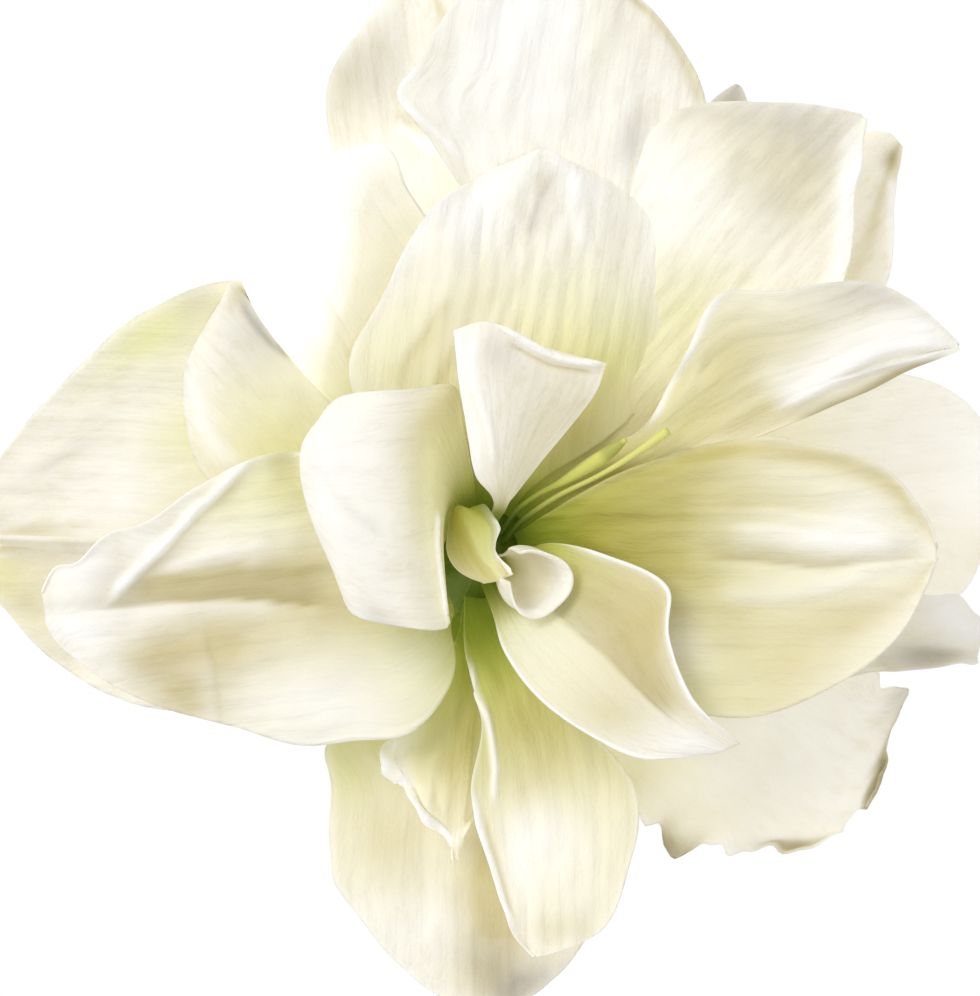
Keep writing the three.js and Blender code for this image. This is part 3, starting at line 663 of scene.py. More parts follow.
petals["petal_front_top"] = dict(
    level=6, turn=81.5, long=74, curl=(0.6, -1.5), fold=0.5, tip=-4, pleats=(0.22, 2.9), veins=0.45,
    bareRim=-1, gaps=(0.4, -1.6),
    left=[3.5, 14, 27, 23, 18.5, 10, 2], right=[3.5, 7.5, 21, 29.5, 27.5, 20, 2],
    patches=[
        ("highlight", 0.86, 0.6, 0.1, 0.3, 0.9, 1.0), ("highlight", 0.95, -0.3, 0.06, 0.25, 0.7, 0.5),
        ("khakiShade", 0.93, -0.02, 0.03, 0.12, 0.4, -0.5), ("khakiShade", 0.6, 0.38, 0.12, 0.2, 0.3, -0.3),
        ("green", 0.55, -0.5, 0.18, 0.5, 0.8, 0), ("green", 0.45, 0.8, 0.14, 0.3, 0.35, 0),
        ("highlight", 0.38, 0.9, 0.12, 0.3, 0.35, 0), ("khakiShade", 0.4, -0.6, 0.14, 0.5, 0.7, -0.3),
        ("khakiShade", 0.25, 0.5, 0.1, 0.5, 0.5, 0), ("highlight", 0.75, 0.97, 0.14, 0.1, 0.6, 0.3),
        ("highlight", 0.8, -0.85, 0.12, 0.25, 0.5, 0),
    ],
    folds=[
        ("grey", [(0.97, -0.15), (0.9, -0.02), (0.8, 0.05)], (0.5, 2.5), 0.4, -0.6),
        ("highlight", [(0.97, -0.3), (0.88, -0.25), (0.78, -0.3)], (0.6, 2), 0.5, 0.6),
        ("khakiShade", [(0.66, 0.55), (0.55, 0.6), (0.42, 0.7)], (0.5, 2.5), 0.4, -0.5),
        ("khakiShade", [(0.6, 0.3), (0.5, 0.4), (0.4, 0.5)], (0.5, 2), 0.3, -0.4),
    ],
)
petals["petal_front_bottom"] = dict(
    level=5, turn=268, long=72.5, sway=[8, 0, -10], curl=(0, 0.7), fold=0.62, warm=38, green=22, glow=0.14,
    left=[3.5, 2.5, 9, 17.5, 17, 12, 0.5], right=[3.5, 6, 8, 10, 8, 5, 0.5],
    outline=[(-1, 0.45, 0.1, -2), (1, 0.84, 0.13, -2)],
    patches=[
        ("khakiShade", 0.48, 0.1, 0.16, 1.0, 0.9, -0.3), ("highlight", 0.75, 0.1, 0.1, 0.5, 0.6, 0.6),
        ("highlight", 0.8, -0.4, 0.1, 0.3, 0.5, 0), ("khakiShade", 0.94, 0.35, 0.04, 0.4, 0.35, -0.3),
    ],
    folds=[
        ("highlight", [(0.28, -0.95), (0.38, -0.95), (0.47, -0.8), (0.56, -0.6), (0.66, -0.6)], 0.7, 0.8, 0.9),
        ("highlight", [(0.6, -0.97), (0.78, -0.95), (0.9, -0.93), (0.96, -0.8)], 0.9, 1.0, 0.8),
        ("khakiShade", [(0.66, -0.75), (0.8, -0.75), (0.92, -0.7)], 0.8, 0.4, -0.4),
    ],
)
petals["petal_front_upper_right"] = dict(
    level=7, turn=5, long=94.5, sway=[10, 0, -12], curl=(0.2, 0), warm=36, green=20,
    left=[3, 5.5, 8, 15.5, 15.5, 9.5, 0.5], right=[3, 0.5, 2, 4, 3.5, 1.5, 0.5],
    outline=[(1, 0.46, 0.07, -2), (1, 0.66, 0.06, 4.0), (1, 0.89, 0.05, 1)],
    patches=[
        ("khakiShade", 0.33, 0.3, 0.15, 0.9, 0.8, 0), ("grey", 0.88, 0.85, 0.09, 0.2, 0.5, 0),
        ("khakiShade", 0.56, 0.05, 0.12, 0.7, 0.6, 0), ("khakiShade", 0.72, 0.5, 0.15, 0.35, 0.5, -0.3),
        ("green", 0.55, 0.4, 0.1, 0.5, 0.4, 0),
    ],
    folds=[
        ("highlight", [(0.66, -0.12), (0.74, 0.0), (0.8, 0.08), (0.9, 0.2), (1, 0.3)], (0.9, 5), 0.9, 1.1),
        ("khakiShade", [(0.55, -0.15), (0.7, 0.1), (0.8, 0.22), (0.9, 0.36), (1, 0.5)], (4, 0.8), 0.3, -0.3),
        ("highlight", [(0.45, 0.95), (0.57, 0.97), (0.63, 0.97), (0.68, 1)], 0.8, 0.8, 0.3),
        ("deepShade", [(0.68, -0.98), (0.85, -0.98), (0.98, -0.8)], 1.0, 0.9, -0.3),
    ],
)
petals["petal_front_right"] = dict(
    level=8, turn=359.5, long=86, cup=1.2, curl=(1.0, 0), fold=0.6, rim=0.2, warm=46, green=24, glow=0.1,
    left=[3.5, 7.5, 15, 19, 16.5, 10, 0.5], right=[3.5, 9.5, 23, 26.5, 21.5, 13, 0.5],
    outline=[(1, 0.9, 0.09, 1.8), (1, 0.985, 0.02, 1.6)],
    patches=[
        ("khakiShade", 0.38, 0.2, 0.2, 1.2, 0.95, 0), ("khakiShade", 0.5, 0.6, 0.14, 0.45, 0.5, 0),
        ("khakiShade", 0.97, 0.75, 0.06, 0.3, 0.35, -0.4), ("highlight", 0.87, 0.4, 0.07, 0.2, 0.5, 0),
        ("khakiShade", 0.74, -0.85, 0.12, 0.3, 0.45, 0), ("highlight", 0.52, -0.62, 0.08, 0.3, 0.4, 0),
        ("highlight", 0.84, 0.2, 0.16, 0.2, 0.4, 0.8), ("khakiShade", 0.82, -0.5, 0.2, 0.22, 0.6, -0.8),
        ("khakiShade", 0.55, -0.3, 0.12, 0.3, 0.4, 0),
    ],
    folds=[
        ("deepShade", [(0.55, -0.02), (0.8, -0.07), (0.92, -0.05), (1.0, 0)], (0.5, 2.6), 0.5, -1.0),
        ("highlight", [(0.6, 0.2), (0.78, 0.18), (0.96, 0.08)], (3.4, 1.6), 0.35, 0.8),
        ("khakiShade", [(0.5, 0.94), (0.66, 0.9), (0.82, 0.88), (0.93, 0.84), (0.985, 0.6)], 1.8, 0.7, -0.5),
        ("khakiShade", [(0.6, 0.27), (0.8, 0.22), (0.95, 0.16)], (0.5, 1.2), 0.45, -0.5),
        ("khakiShade", [(0.58, 0.42), (0.8, 0.4), (0.97, 0.3)], (0.7, 3), 0.4, -0.5),
        ("highlight", [(0.58, -0.25), (0.75, -0.26), (0.9, -0.2)], (1.2, 2.2), 0.3, 0.6),
    ],
)

behind = bmesh.new()
for node, own in petals.items():
    sizes = {**plainPetal, **own}
    marks = petalMarks(sizes, lambda u, q: max(sideWidth(sizes, u, q), 0.5), crowded)
    blade(node, sizes, petalSurface(sizes), marks, petalMesh[node.split("_")[1]], behind)
behind.free()
print("outer petals made")


# inner petals: rows of places across each, from foot to tip, in the flower's frame in mm; their patches and
# folds are painted highlight, painted shade and green tint
nets = {}
nets["petal_inner_left"] = dict(
    rows=[
        [(-1.5, 6, -2), (-2.8, 5.5, -2.1), (-3.8, 4.8, -2.1), (-4.8, 3.8, -2)],
        [(-2, 12, 14), (-4.8, 9.7, 14), (-6.6, 5.5, 14), (-7.2, 1, 14)],
        [(-3.5, 20, 26), (-6.5, 13.5, 27), (-7.4, 3.5, 28), (-6.4, -8, 27)],
        [(-5, 27, 30), (-10, 18, 31), (-10, 2, 31), (-6.5, -12.5, 29)],
        [(-12.5, 26.5, 31), (-16, 18, 33), (-15.5, 1, 33), (-14.5, -12, 31)],
        [(-23, 25.5, 30), (-24.5, 17.5, 33), (-24, 3, 33), (-21.5, -10, 31)],
        [(-27, 22, 28), (-30, 16.5, 30), (-29, 7.5, 30), (-24, -4.5, 29)],
    ],
    long=50, wide=30, warm=17, green=9, rim=0.35, veins=0.25, waves=(0.8, 5),
    patches=[
        ("khakiShade", 0.52, -0.8, 0.13, 0.9, 0.8, -0.3), ("green", 0.4, -0.3, 0.14, 1.0, 0.7, 0),
        ("highlight", 0.85, -0.2, 0.16, 0.9, 0.6, 0), ("grey", 0.75, 0.95, 0.12, 0.12, 0.25, 0),
    ],
    folds=[
        ("highlight", [(0.36, 0.1), (0.4, 0.5), (0.44, 1)], 0.8, 0.9, 0.5),
        ("grey", [(0.96, -0.2), (0.82, 0.1), (0.66, 0.3)], 0.8, 0.3, -0.5),
    ],
)
nets["petal_inner_top"] = dict(
    rows=[
        [(1.8, 4.6, -1.6), (1.2, 4.8, -1.6), (0.6, 4.9, -1.6), (0, 5, -1.6)],
        [(3.6, 7.4, 12), (2.9, 7.6, 12.6), (2.2, 7.6, 12.8), (1.4, 7.6, 12.4)],
        [(4.5, 9, 23), (3.5, 10, 25), (2.3, 10, 25.5), (1, 9.5, 24)],
        [(8.6, 14.2, 26.5), (4.8, 14.5, 30), (1.5, 15, 31.5), (-1.5, 13, 29)],
        [(13.6, 20.2, 29), (7.2, 21.5, 33), (1, 22.5, 36), (-3, 21, 32)],
        [(18, 26, 32.5), (9.5, 27.7, 36), (0, 30, 39.5), (-4, 28.5, 35)],
        [(19.5, 30.5, 35), (10.5, 32.5, 38.5), (1, 36.5, 41.5), (-5, 35.5, 38)],
    ],
    long=60, wide=22, warm=14, green=12, rim=0.7, veins=0.4, waves=(0.4, 3), glow=0.16,
    patches=[
        ("khakiShade", 0.68, -0.55, 0.3, 0.42, 0.35, -0.3), ("highlight", 0.72, 0.8, 0.35, 0.3, 0.8, 0),
        ("grey", 0.88, 0.2, 0.07, 0.25, 0.35, -0.4),
    ],
    folds=[
        ("highlight", [(0.99, -0.98), (0.96, -0.5), (0.97, -0.1), (1, 0.3)], 0.8, 1.0, 1.0),
        ("khakiShade", [(0.92, -0.9), (0.9, -0.4), (0.93, 0.1)], 0.9, 0.5, -0.8),
        ("highlight", [(0.95, 0.58), (0.7, 0.45), (0.45, 0.3)], 0.9, 0.6, 0.9),
        ("highlight", [(0.4, 1), (0.7, 1), (0.98, 1)], 0.8, 0.9, 0.3),
    ],
)
nets["petal_inner_lower_right"] = dict(
    rows=[
        [(-0.9, -4.9, -1.2), (1.8, -4.6, -1.2), (3.8, -3.3, -1.2), (4.9, -0.9, -1.2)],
        [(1.2, -10.2, 16.5), (5, -8, 13.8), (8.6, -4.3, 14.3), (11, 1.5, 18)],
        [(3.5, -17, 28.5), (9, -13, 26), (15, -8, 27), (20, -0.5, 30)],
        [(9, -24, 34), (15.5, -19, 32.5), (22.5, -12.5, 33), (29.5, -5.5, 36.5)],
        [(17, -29.5, 38), (21.5, -24.5, 37), (26.5, -19.5, 37), (30, -14, 38.5)],
        [(25.5, -33, 40), (28.5, -29, 40), (31.5, -26, 40), (33, -23, 41)],
        [(36, -32, 42), (38, -31.5, 42.5), (39, -31, 42.5), (40.5, -30.5, 42)],
    ],
    long=68, wide=26, warm=29, green=11, rim=0.6, veins=0.3, waves=(0.3, 3),
    patches=[
        ("khakiShade", 0.62, 0.45, 0.3, 0.4, 0.7, -0.3), ("khakiShade", 0.68, -0.4, 0.16, 0.5, 0.6, 0.2),
        ("khakiShade", 0.46, 0.7, 0.15, 0.4, 0.6, 0), ("highlight", 0.3, -0.5, 0.14, 0.6, 0.45, 0),
        ("highlight", 0.9, -0.4, 0.08, 0.5, 0.5, 0.2),
    ],
    folds=[
        ("deepShade", [(0.2, 0.1), (0.45, 0.0), (0.6, 0.02), (0.85, 0.1)], (0.5, 6), 0.4, -0.8),
        ("highlight", [(0.52, 0.98), (0.65, 0.95), (0.8, 0.95), (0.92, 0.9)], 1.5, 0.9, 0.4),
        ("highlight", [(0.2, 1), (0.5, 1), (0.75, 1), (0.95, 1)], 0.9, 1.0, 0.6),
        ("highlight", [(0.2, -1), (0.5, -1), (0.8, -1), (0.95, -1)], 0.8, 1.0, 0.4),
    ],
)
nets["petaloid_left"] = dict(
    rows=[
        [(-1.2, 3, 0), (-2.2, 2.4, 0), (-3, 1.4, 0), (-3.3, 0.2, 0)],
        [(-0.5, 8, 9), (-2.4, 7.2, 11), (-4, 5.6, 11), (-4.8, 3.4, 9)],
        [(1.6, 5.8, 13), (-1, 6.2, 17.5), (-4.2, 7.6, 17.5), (-5.4, 7, 13)],
        [(3, 4, 17), (0.5, 3.8, 21), (-3.8, 3.9, 21), (-6.1, 3.4, 16.5)],
        [(2.3, 0.4, 20), (0.9, -0.8, 22.5), (-2.6, -0.9, 22), (-6.2, -0.2, 18)],
        [(4.2, -2.6, 21.5), (2.8, -3.6, 22.8), (0, -4.4, 22.4), (-4.2, -3.4, 20)],
        [(4.6, -3.8, 22), (3.4, -4.2, 22.6), (1.6, -4.8, 22.2), (-0.2, -5.2, 21)],
    ],
    long=34, wide=12, warm=28, green=13, rim=0.8, veins=0.5, waves=(0.25, 2), glow=0.16, pale=2.4,
    patches=[
        ("green", 0.6, 0, 0.4, 1, 0.7, 0), ("khakiShade", 0.5, 0.6, 0.4, 0.5, 0.7, 0),
        ("highlight", 0.62, -0.92, 0.24, 0.3, 1.6, 0.3),
    ],
    folds=[
        ("highlight", [(0.35, -1), (0.6, -1), (0.95, -1)], 1.3, 1.3, 0.4),
        ("khakiShade", [(0.35, 0.5), (0.6, 0.1), (0.75, 0.0), (0.92, 0.1)], (0.4, 2.0), 0.6, -0.4),
        ("khakiShade", [(0.7, -0.6), (0.8, -0.4), (0.92, -0.4)], (0.4, 1.2), 0.6, -0.4),
    ],
)


def netSurface(rows, waveHeight, waveCount):
    def surface(u, q):
        place = Vector([
            through([through([spot[k] for spot in row], (u + 1) / 2) for row in rows], q) for k in range(3)
        ])
        flutter = math.sin(2 * math.pi * waveCount * q + 2 * u) * abs(u) ** 3
        flutter += 0.8 * noise.noise(place * 0.15)
        place.z += waveHeight * flutter * smooth(q * 3 - 0.6)
        return place

    return surface


for node, own in nets.items():
    sizes = {**plainPetal, **own}
    marks = petalMarks(sizes, lambda u, q: sizes["wide"] / 2, lambda q: q)
    blade(node, sizes, netSurface(sizes["rows"], *sizes["waves"]), marks, petalMesh["inner"])

# the ring's patches are a painted highlight and painted shade
ring = {  # the small petal rolled into a ring
    **plainPetal, "wide": 26, "long": 32, "warm": 10, "green": 6, "rim": 1.0, "veins": 0.3,
    "patches": [("highlight", 0.85, 0.1, 0.12, 0.7, 0.9, 0), ("khakiShade", 0.6, 0, 0.12, 2, 0.5, 0)],
    "foot": (1.6, -1.6, 0.3), "ahead": (7.2, -3.5, 26.7), "radius": 1.2, "flare": 6.6, "tuck": 2.6,
    "middle": -30, "half": 150, "lobes": 0.45, "stretch": 1.05,  # middle and half its sweep in degrees
}


def scroll(u, q):
    angle = math.radians(ring["middle"] - ring["half"] * u)
    end = smooth(q * 3 - 2)
    lobes = ring["lobes"] * q * q * math.sin(3 * angle + 1)
    radius = ring["radius"] + ring["flare"] * q ** 1.6 + lobes - ring["tuck"] * end
    (x, y, z), (aheadX, aheadY, aheadZ) = ring["foot"], ring["ahead"]
    centre = Vector((x + aheadX * q, y + aheadY * q, z + aheadZ * q ** 0.8 + 1.2 * end))
    return centre + Vector((radius * math.cos(angle), radius * math.sin(angle) * ring["stretch"], 0))


marks = petalMarks(ring, lambda u, q: ring["wide"] / 2 * q, lambda q: q)
blade("petaloid_right", ring, scroll, marks, petalMesh["ring"])
print("inner petals made")


# the style and the one stamen
filaments = {
    "style": {
        "places": [
            (3.5, 1.8, 0), (6, 5, 8), (8.8, 7.2, 15), (12.8, 9.7, 20.5), (19, 12.7, 26), (25.2, 16.5, 31),
            (29.5, 19.5, 34),
        ],
        "radii": [0.5, 0.48, 0.46, 0.5, 0.75], "foot": (0.18, 0.26, 0.04), "far": (0.80, 0.80, 0.24),
    },
    "stamen": {
        "places": [
            (3, 3.3, 0), (5.2, 6.8, 9), (8.8, 9.6, 16), (13.5, 12, 22.5), (19, 15.4, 27.5), (23, 18.3, 30),
        ],
        "radii": [0.5, 0.48, 0.45, 0.5, 0.9, 1.15, 0.4],
        "foot": (0.18, 0.26, 0.04), "far": (0.70, 0.72, 0.16), "anther": (0.47, 0.48, 0.10),
    },
}


def framesAlong(places, steps):  # places and two side directions that never twist
    spots = [through(places, i / steps) for i in range(steps + 1)]
    side = None
    frames = []
    for i, spot in enumerate(spots):
        ahead = (spots[min(i + 1, steps)] - spots[max(i - 1, 0)]).normalized()
        side = ahead.orthogonal() if side is None else side - ahead * side.dot(ahead)
        side = side.normalized()
        frames.append((spot, side, ahead.cross(side)))
    return frames


def stemMesh(places, radii, around, along, swell=None, matrix=None):
    frames = framesAlong([Vector(place) for place in places], along)

    def point(u, q):
        spot, side, other = frames[round(q * along)]
        angle = math.pi * u
        radius = max(through(radii, q), 0.02) * (swell(angle, q) if swell else 1.0)
        place = spot + (side * math.cos(angle) + other * math.sin(angle)) * radius
        return matrix @ place if matrix else place * mm

    return closeEnds(gridMesh(point, around, along, True))


for node, sizes in filaments.items():
    paint = Paint(node, Roughness=0.45)
    _, along = paint.place()
    layers = [(along.ramp(0.1, 0.6), sizes["far"])]
    if "anther" in sizes:
        layers.append((along.ramp(0.80, 0.86) * (1 - along.ramp(0.95, 0.99)), sizes["anther"]))
    paint.coat(sizes["foot"], *layers)
    paint.bump(paint.noise(paint.coordinates(), 900, 3), 0.15, 0.5)
    bm = stemMesh(sizes["places"], sizes["radii"], 16, 60, None, flowerMatrix)
    piece(node + ".thread", bm, paint, node)
print("style and stamen made")


# everything behind the flower: its tube, the ovary, the stalk and the buds
def aroundVector(paint, turns, ahead, seed):  # a seamless place on a stem, from its own UV map
    around, along = paint.place()
    angle = around * (2 * math.pi)
    return paint.vector(angle.sine() * turns, (angle + math.pi / 2).sine() * turns, along * ahead + seed)


stemFinish = {"roughness": (0.36, 0.54), "relief": 0.3, "streak": (0.13, 0.23, 0.05)}


def stemPaint(name, sizes, turns, ahead):
    sizes = {**stemFinish, **sizes}
    paint = Paint(name)
    _, along = paint.place()
    streaks = paint.noise(aroundVector(paint, turns, ahead, len(name)), 1.6, 4, 0.6)
    mottle = paint.noise(paint.coordinates(), 140, 4)
    paint.coat(
        sizes["foot"],
        (along.ramp(0.0, 1.0), sizes["top"]),
        (streaks.ramp(0.35, 0.65, 0.0, 0.8), sizes["streak"]),
        (mottle.ramp(0.4, 0.7, 0.0, 0.35), sizes["top"]),
    )
    paint.set("Roughness", mottle.ramp(0.3, 0.7, *sizes["roughness"]))
    paint.bump(streaks + paint.noise(paint.coordinates(), 1500, 2) * 0.3, sizes["relief"], 0.6)
    return paint


tube = {
    "radii": [3.6, 6.0, 6.2, 6.7, 7.8, 9.6, 11.9, 12.6], "low": -27.9, "high": -6.8, "faces": (96, 60),
    "wall": 0.8, "floor": 6.6, "hole": 2.2,  # wall is its share of the rows; the rest rises inside it
    "foot": (0.20, 0.31, 0.055), "top": (0.24, 0.32, 0.035), "streak": (0.18, 0.27, 0.04),
}


def tubePoint(u, q):
    angle, part = math.pi * u, q / tube["wall"]
    if part < 1:
        height = tube["low"] + (tube["high"] - tube["low"]) * part
        radius = through(tube["radii"], part) * (1 + 0.035 * math.cos(6 * angle) * smooth(part * 2))
    else:
        inside = (q - tube["wall"]) / (1 - tube["wall"])
        height = tube["high"] + tube["floor"] * inside
        radius = tube["radii"][-1] + (tube["hole"] - tube["radii"][-1]) * inside
    return flowerMatrix @ polar(radius, angle, height)


bm = closeEnds(gridMesh(tubePoint, *tube["faces"], True))
piece("perianth_tube.funnel", bm, stemPaint("flower tube", tube, 5, 1.2), "perianth_tube")

pedicel = {
    "radii": [2.4, 2.4, 2.6], "faces": (32, 44), "foot": (0.24, 0.33, 0.11), "top": (0.20, 0.31, 0.07),
}
stems = {
    "scape": {
        "places": [(0, 0, 158.3), (0, 0, 232), (0, 0, 305), (0, 0, 378)], "radii": [12, 11, 10, 9],
        "faces": (64, 90), "flat": 0.04, "foot": (0.22, 0.32, 0.10), "top": (0.19, 0.30, 0.09),
    },
    "ovary_and_pedicel": {
        "places": [
            (0, -35.3, 422.33), (0, -26.5, 420.5), (0, -18, 418.3), (0, -9.5, 412.5), (0, -3.5, 401),
            (0, -1, 388), (0, -1, 378.3),
        ],
        "radii": [4.4, 6.6, 5.6, 4, 3.6, 3.5, 3.5], "faces": (60, 80), "lobes": 0.07,
        "foot": (0.16, 0.27, 0.05), "top": (0.24, 0.34, 0.11),
    },
    "bud_right_pedicel": {
        "places": [
            (6, 3, 378.3), (6, 3, 379.3), (6, 3, 384.3), (13, 7, 395), (19.6, 11.4, 400.6),
            (20.9, 12.9, 404.7),
        ],
        **pedicel,
    },
    "bud_left_pedicel": {
        "places": [
            (-6, 3, 378.3), (-6, 3, 379.3), (-6, 3, 384.3), (-12, 8, 394), (-17.7, 13.2, 398.6),
            (-18.9, 14.9, 402.6),
        ],
        **pedicel,
    },
}


def stemSwell(lobes=0, flat=0):  # three lobes near the foot, or flattened sides
    return lambda angle, q: (
        1 + lobes * math.cos(3 * angle) * hump(q, 0.04, 0.4, 0.2) - flat * abs(math.sin(angle)) ** 3
    )


for node, sizes in stems.items():
    swell = stemSwell(sizes.get("lobes", 0), sizes.get("flat", 0))
    bm = stemMesh(sizes["places"], sizes["radii"], *sizes["faces"], swell)
    piece(node + ".stem", bm, stemPaint(node, sizes, 3, 1.5), node)

buds = {
    "bud_right": {"neck": (21, 13, 405), "tip": (37, 30, 455)},
    "bud_left": {"neck": (-19, 15, 403), "tip": (-33, 34, 450)},
}
budShape = {
    "radii": [2.6, 6.5, 9.5, 11, 10.6, 8.6, 5, 1], "faces": (120, 90), "lap": 0.055, "keel": 0.025,
    "roughness": 0.42, "relief": 0.3,
    "foot": (0.24, 0.34, 0.07), "pale": (0.74, 0.75, 0.47),
    "vein": (0.42, 0.50, 0.17), "tip": (0.30, 0.36, 0.12),
}


def budSwell(angle, q):  # three outer petals, each lapped over the next
    lap = (3 * angle / (2 * math.pi) + 0.35 * q) % 1.0
    keel = math.cos(2 * math.pi * (lap - 0.5))
    return 1 - budShape["lap"] * lap ** 6 * smooth(q * 6) + budShape["keel"] * keel * smooth(q * 3)


for node, at in buds.items():
    neck, tip = Vector(at["neck"]), Vector(at["tip"])
    bm = stemMesh([neck, neck.lerp(tip, 0.5), tip], budShape["radii"], *budShape["faces"], budSwell)
    paint = Paint(node, Roughness=budShape["roughness"])
    _, along = paint.place()
    veins = paint.noise(aroundVector(paint, 9, 1.4, 3), 1.5, 4, 0.6)
    paint.coat(
        budShape["foot"],
        (along.ramp(0.0, 0.75), budShape["pale"]),
        (veins.ramp(0.4, 0.62, 0.0, 0.6), budShape["vein"]),
        (along.ramp(0.88, 1.0), budShape["tip"]),
    )
    paint.bump(veins + paint.noise(paint.coordinates(), 1500, 2) * 0.3, budShape["relief"], 0.7)
    piece(node + ".closed", bm, paint, node)
print("stalk and buds made")


# the two papery spathe valves
spathe = {
    "places": [(9.7, 0, 372), (12, 0.5, 380), (15.5, 2, 379), (18.5, 4, 368), (19.5, 6, 352)],
    "widths": [9, 11, 9.5, 6, 0.6], "bend": 14, "faces": (36, 60), "thick": 0.35,
    "light": (0.62, 0.47, 0.26), "dark": (0.36, 0.24, 0.11), "ribs": 26, "crimp": 0.35, "crumple": 0.8,
}


def spatheSurface(side):
    places = [Vector((side * x, y, z)) for x, y, z in spathe["places"]]
    bend = spathe["bend"]

    def surface(u, q):
        place = through(places, q)
        wrap = u * through(spathe["widths"], q) / bend
        crimp = spathe["crimp"] * math.sin(9 * u + 5 * q) * smooth(q * 3)
        crimp += spathe["crumple"] * noise.noise(Vector((u * 2, q * 7, side)))
        back = (1 - math.cos(wrap)) * bend + crimp * smooth(q * 4)
        return Vector((place.x - side * back, place.y + math.sin(wrap) * bend, place.z)) * mm

    return surface


def paperPaint(name, sizes, seed):
    paint = Paint(name)
    across, along = paint.place()
    streaks = paint.noise(paint.vector(across * sizes["ribs"], along * 1.6, seed), 1.0, 5, 0.62)
    blotch = paint.noise(paint.coordinates(), 90, 4)
    paint.coat(
        sizes["light"],
        (streaks.ramp(0.32, 0.68), sizes["dark"]),
        (blotch.ramp(0.35, 0.68, 0.0, 0.6), tuple(value * 0.6 for value in sizes["dark"])),
    )
    paint.set("Roughness", streaks.ramp(0.3, 0.7, 0.5, 0.75))
    paint.bump(streaks + blotch * 0.4, 0.5, 0.8)
    return paint


for side, name in ((1, "right"), (-1, "left")):
    node = "spathe_valve_" + name
    bm = gridMesh(spatheSurface(side), *spathe["faces"])
    piece(node + ".papery", bm, paperPaint("spathe " + name, spathe, side), node, spathe["thick"])


# the strap leaves
leafShape = {
    "foot": 158.3, "thick": 2.2, "widths": [10, 14, 18, 19, 18.5, 17, 13.5, 8, 0.8], "ripple": 0.5,
    "ring": 15.6, "open": 50, "steps": 200, "faces": (56, 120),  # ring and open: the section's bend
    "thinner": (0.35, 0.4),  # how much towards its tip and its margins
    "groove": (0.72, 0.16),  # its depth in mm, and its width as a share of half the blade
    "dark": (0.052, 0.145, 0.028), "light": (0.10, 0.225, 0.045), "vein": (0.145, 0.28, 0.075),
    "mottle": (0.16, 0.27, 0.06), "midrib": (0.20, 0.34, 0.10), "margin": (0.26, 0.36, 0.12),
    "base": (0.36, 0.42, 0.17), "roughness": (0.3, 0.46), "relief": 0.35,
}
leaves = {  # lean is the blade's angle from upright, foot to tip
    "leaf_right": {"bearing": 45, "spread": -17, "long": 236, "lean": [4, 34, 80, 116]},
    "leaf_back": {"bearing": 135, "spread": -8, "long": 236, "lean": [5, 42, 90, 120]},
    "leaf_left": {"bearing": 225, "spread": -20, "long": 246, "lean": [4, 26, 70, 112]},
    "leaf_front": {"bearing": 315, "spread": 12, "long": 236, "lean": [4, 30, 78, 118]},
}


def leafSurface(sizes):
    steps, ring = leafShape["steps"], leafShape["ring"]
    thinTip, thinMargin = leafShape["thinner"]
    depth, width = leafShape["groove"]
    spine = []
    out, height = ring, leafShape["foot"]
    for i in range(steps + 1):
        angle = math.radians(through(sizes["lean"], i / steps))
        spine.append((out, height, angle))
        out += math.sin(angle) * sizes["long"] / steps
        height += math.cos(angle) * sizes["long"] / steps

    def surface(x, q):  # x runs round the leaf's lens-shaped section
        u, side = math.cos(math.pi * x), math.sin(math.pi * x)
        r, z, lean = between(spine, q * steps)
        heading = math.radians(sizes["bearing"] + sizes["spread"] * smooth(q / 0.6))
        opening = smooth(q / 0.35)
        bend = 1 / ring + (1 / leafShape["open"] - 1 / ring) * opening
        t = u * max(through(leafShape["widths"], q), 0.5)
        across = math.sin(bend * t) / bend
        inwards = (1 - math.cos(bend * t)) / bend
        ripple = leafShape["ripple"] * math.sin(14 * q + 2 * u + sizes["bearing"]) * abs(u) ** 2 * opening
        thick = leafShape["thick"] / 2 * side * (1 - thinTip * smooth(q * 1.1)) * (1 - thinMargin * u * u)
        groove = depth * math.exp(-(u / width) ** 2) * opening * (1 - q)
        raised = inwards - thick + ripple - groove
        place = Vector((r - raised * math.cos(lean), across, z + raised * math.sin(lean)))
        return Matrix.Rotation(heading, 3, "Z") @ place * mm

    return surface


def leafPaint(name, seed):
    paint = Paint(name)
    across, along = paint.place()
    u = across * 2 - 1
    sway = paint.noise(paint.coordinates(), 30, 2) * 0.4
    veins = ((u * 46 + sway).sine() + 1) * 0.5
    streaks = paint.noise(paint.vector(u * 9, along * 3, seed), 1.3, 5, 0.6)
    mottle = paint.noise(paint.coordinates(), 26, 4)
    paint.coat(
        leafShape["dark"],
        (streaks.ramp(0.3, 0.7), leafShape["light"]),
        (veins ** 3 * 0.35, leafShape["vein"]),
        (mottle.ramp(0.45, 0.75, 0.0, 0.5), leafShape["mottle"]),
        (abs(u).ramp(0.0, 0.09, 0.55, 0.0), leafShape["midrib"]),
        (abs(u).ramp(0.93, 1.0, 0.0, 0.7), leafShape["margin"]),
        (along.ramp(0.0, 0.16, 0.8, 0.0), leafShape["base"]),
    )
    paint.set("Roughness", mottle.ramp(0.3, 0.7, *leafShape["roughness"]))
    paint.bump(veins * 0.6 + streaks * 0.5, leafShape["relief"], 0.7)
    return paint


for node, sizes in leaves.items():
    bm = gridMesh(leafSurface(sizes), *leafShape["faces"], True)
    uv = bm.loops.layers.uv["sheet"]
    for face in bm.faces:
        for loop in face.loops:  # across the strap instead of round it
            loop[uv].uv.x = (math.cos(math.pi * (loop[uv].uv.x * 2 - 1)) + 1) / 2
    piece(node + ".strap", closeEnds(bm), leafPaint(node, sizes["bearing"] * 0.1), node)
print("leaves made")


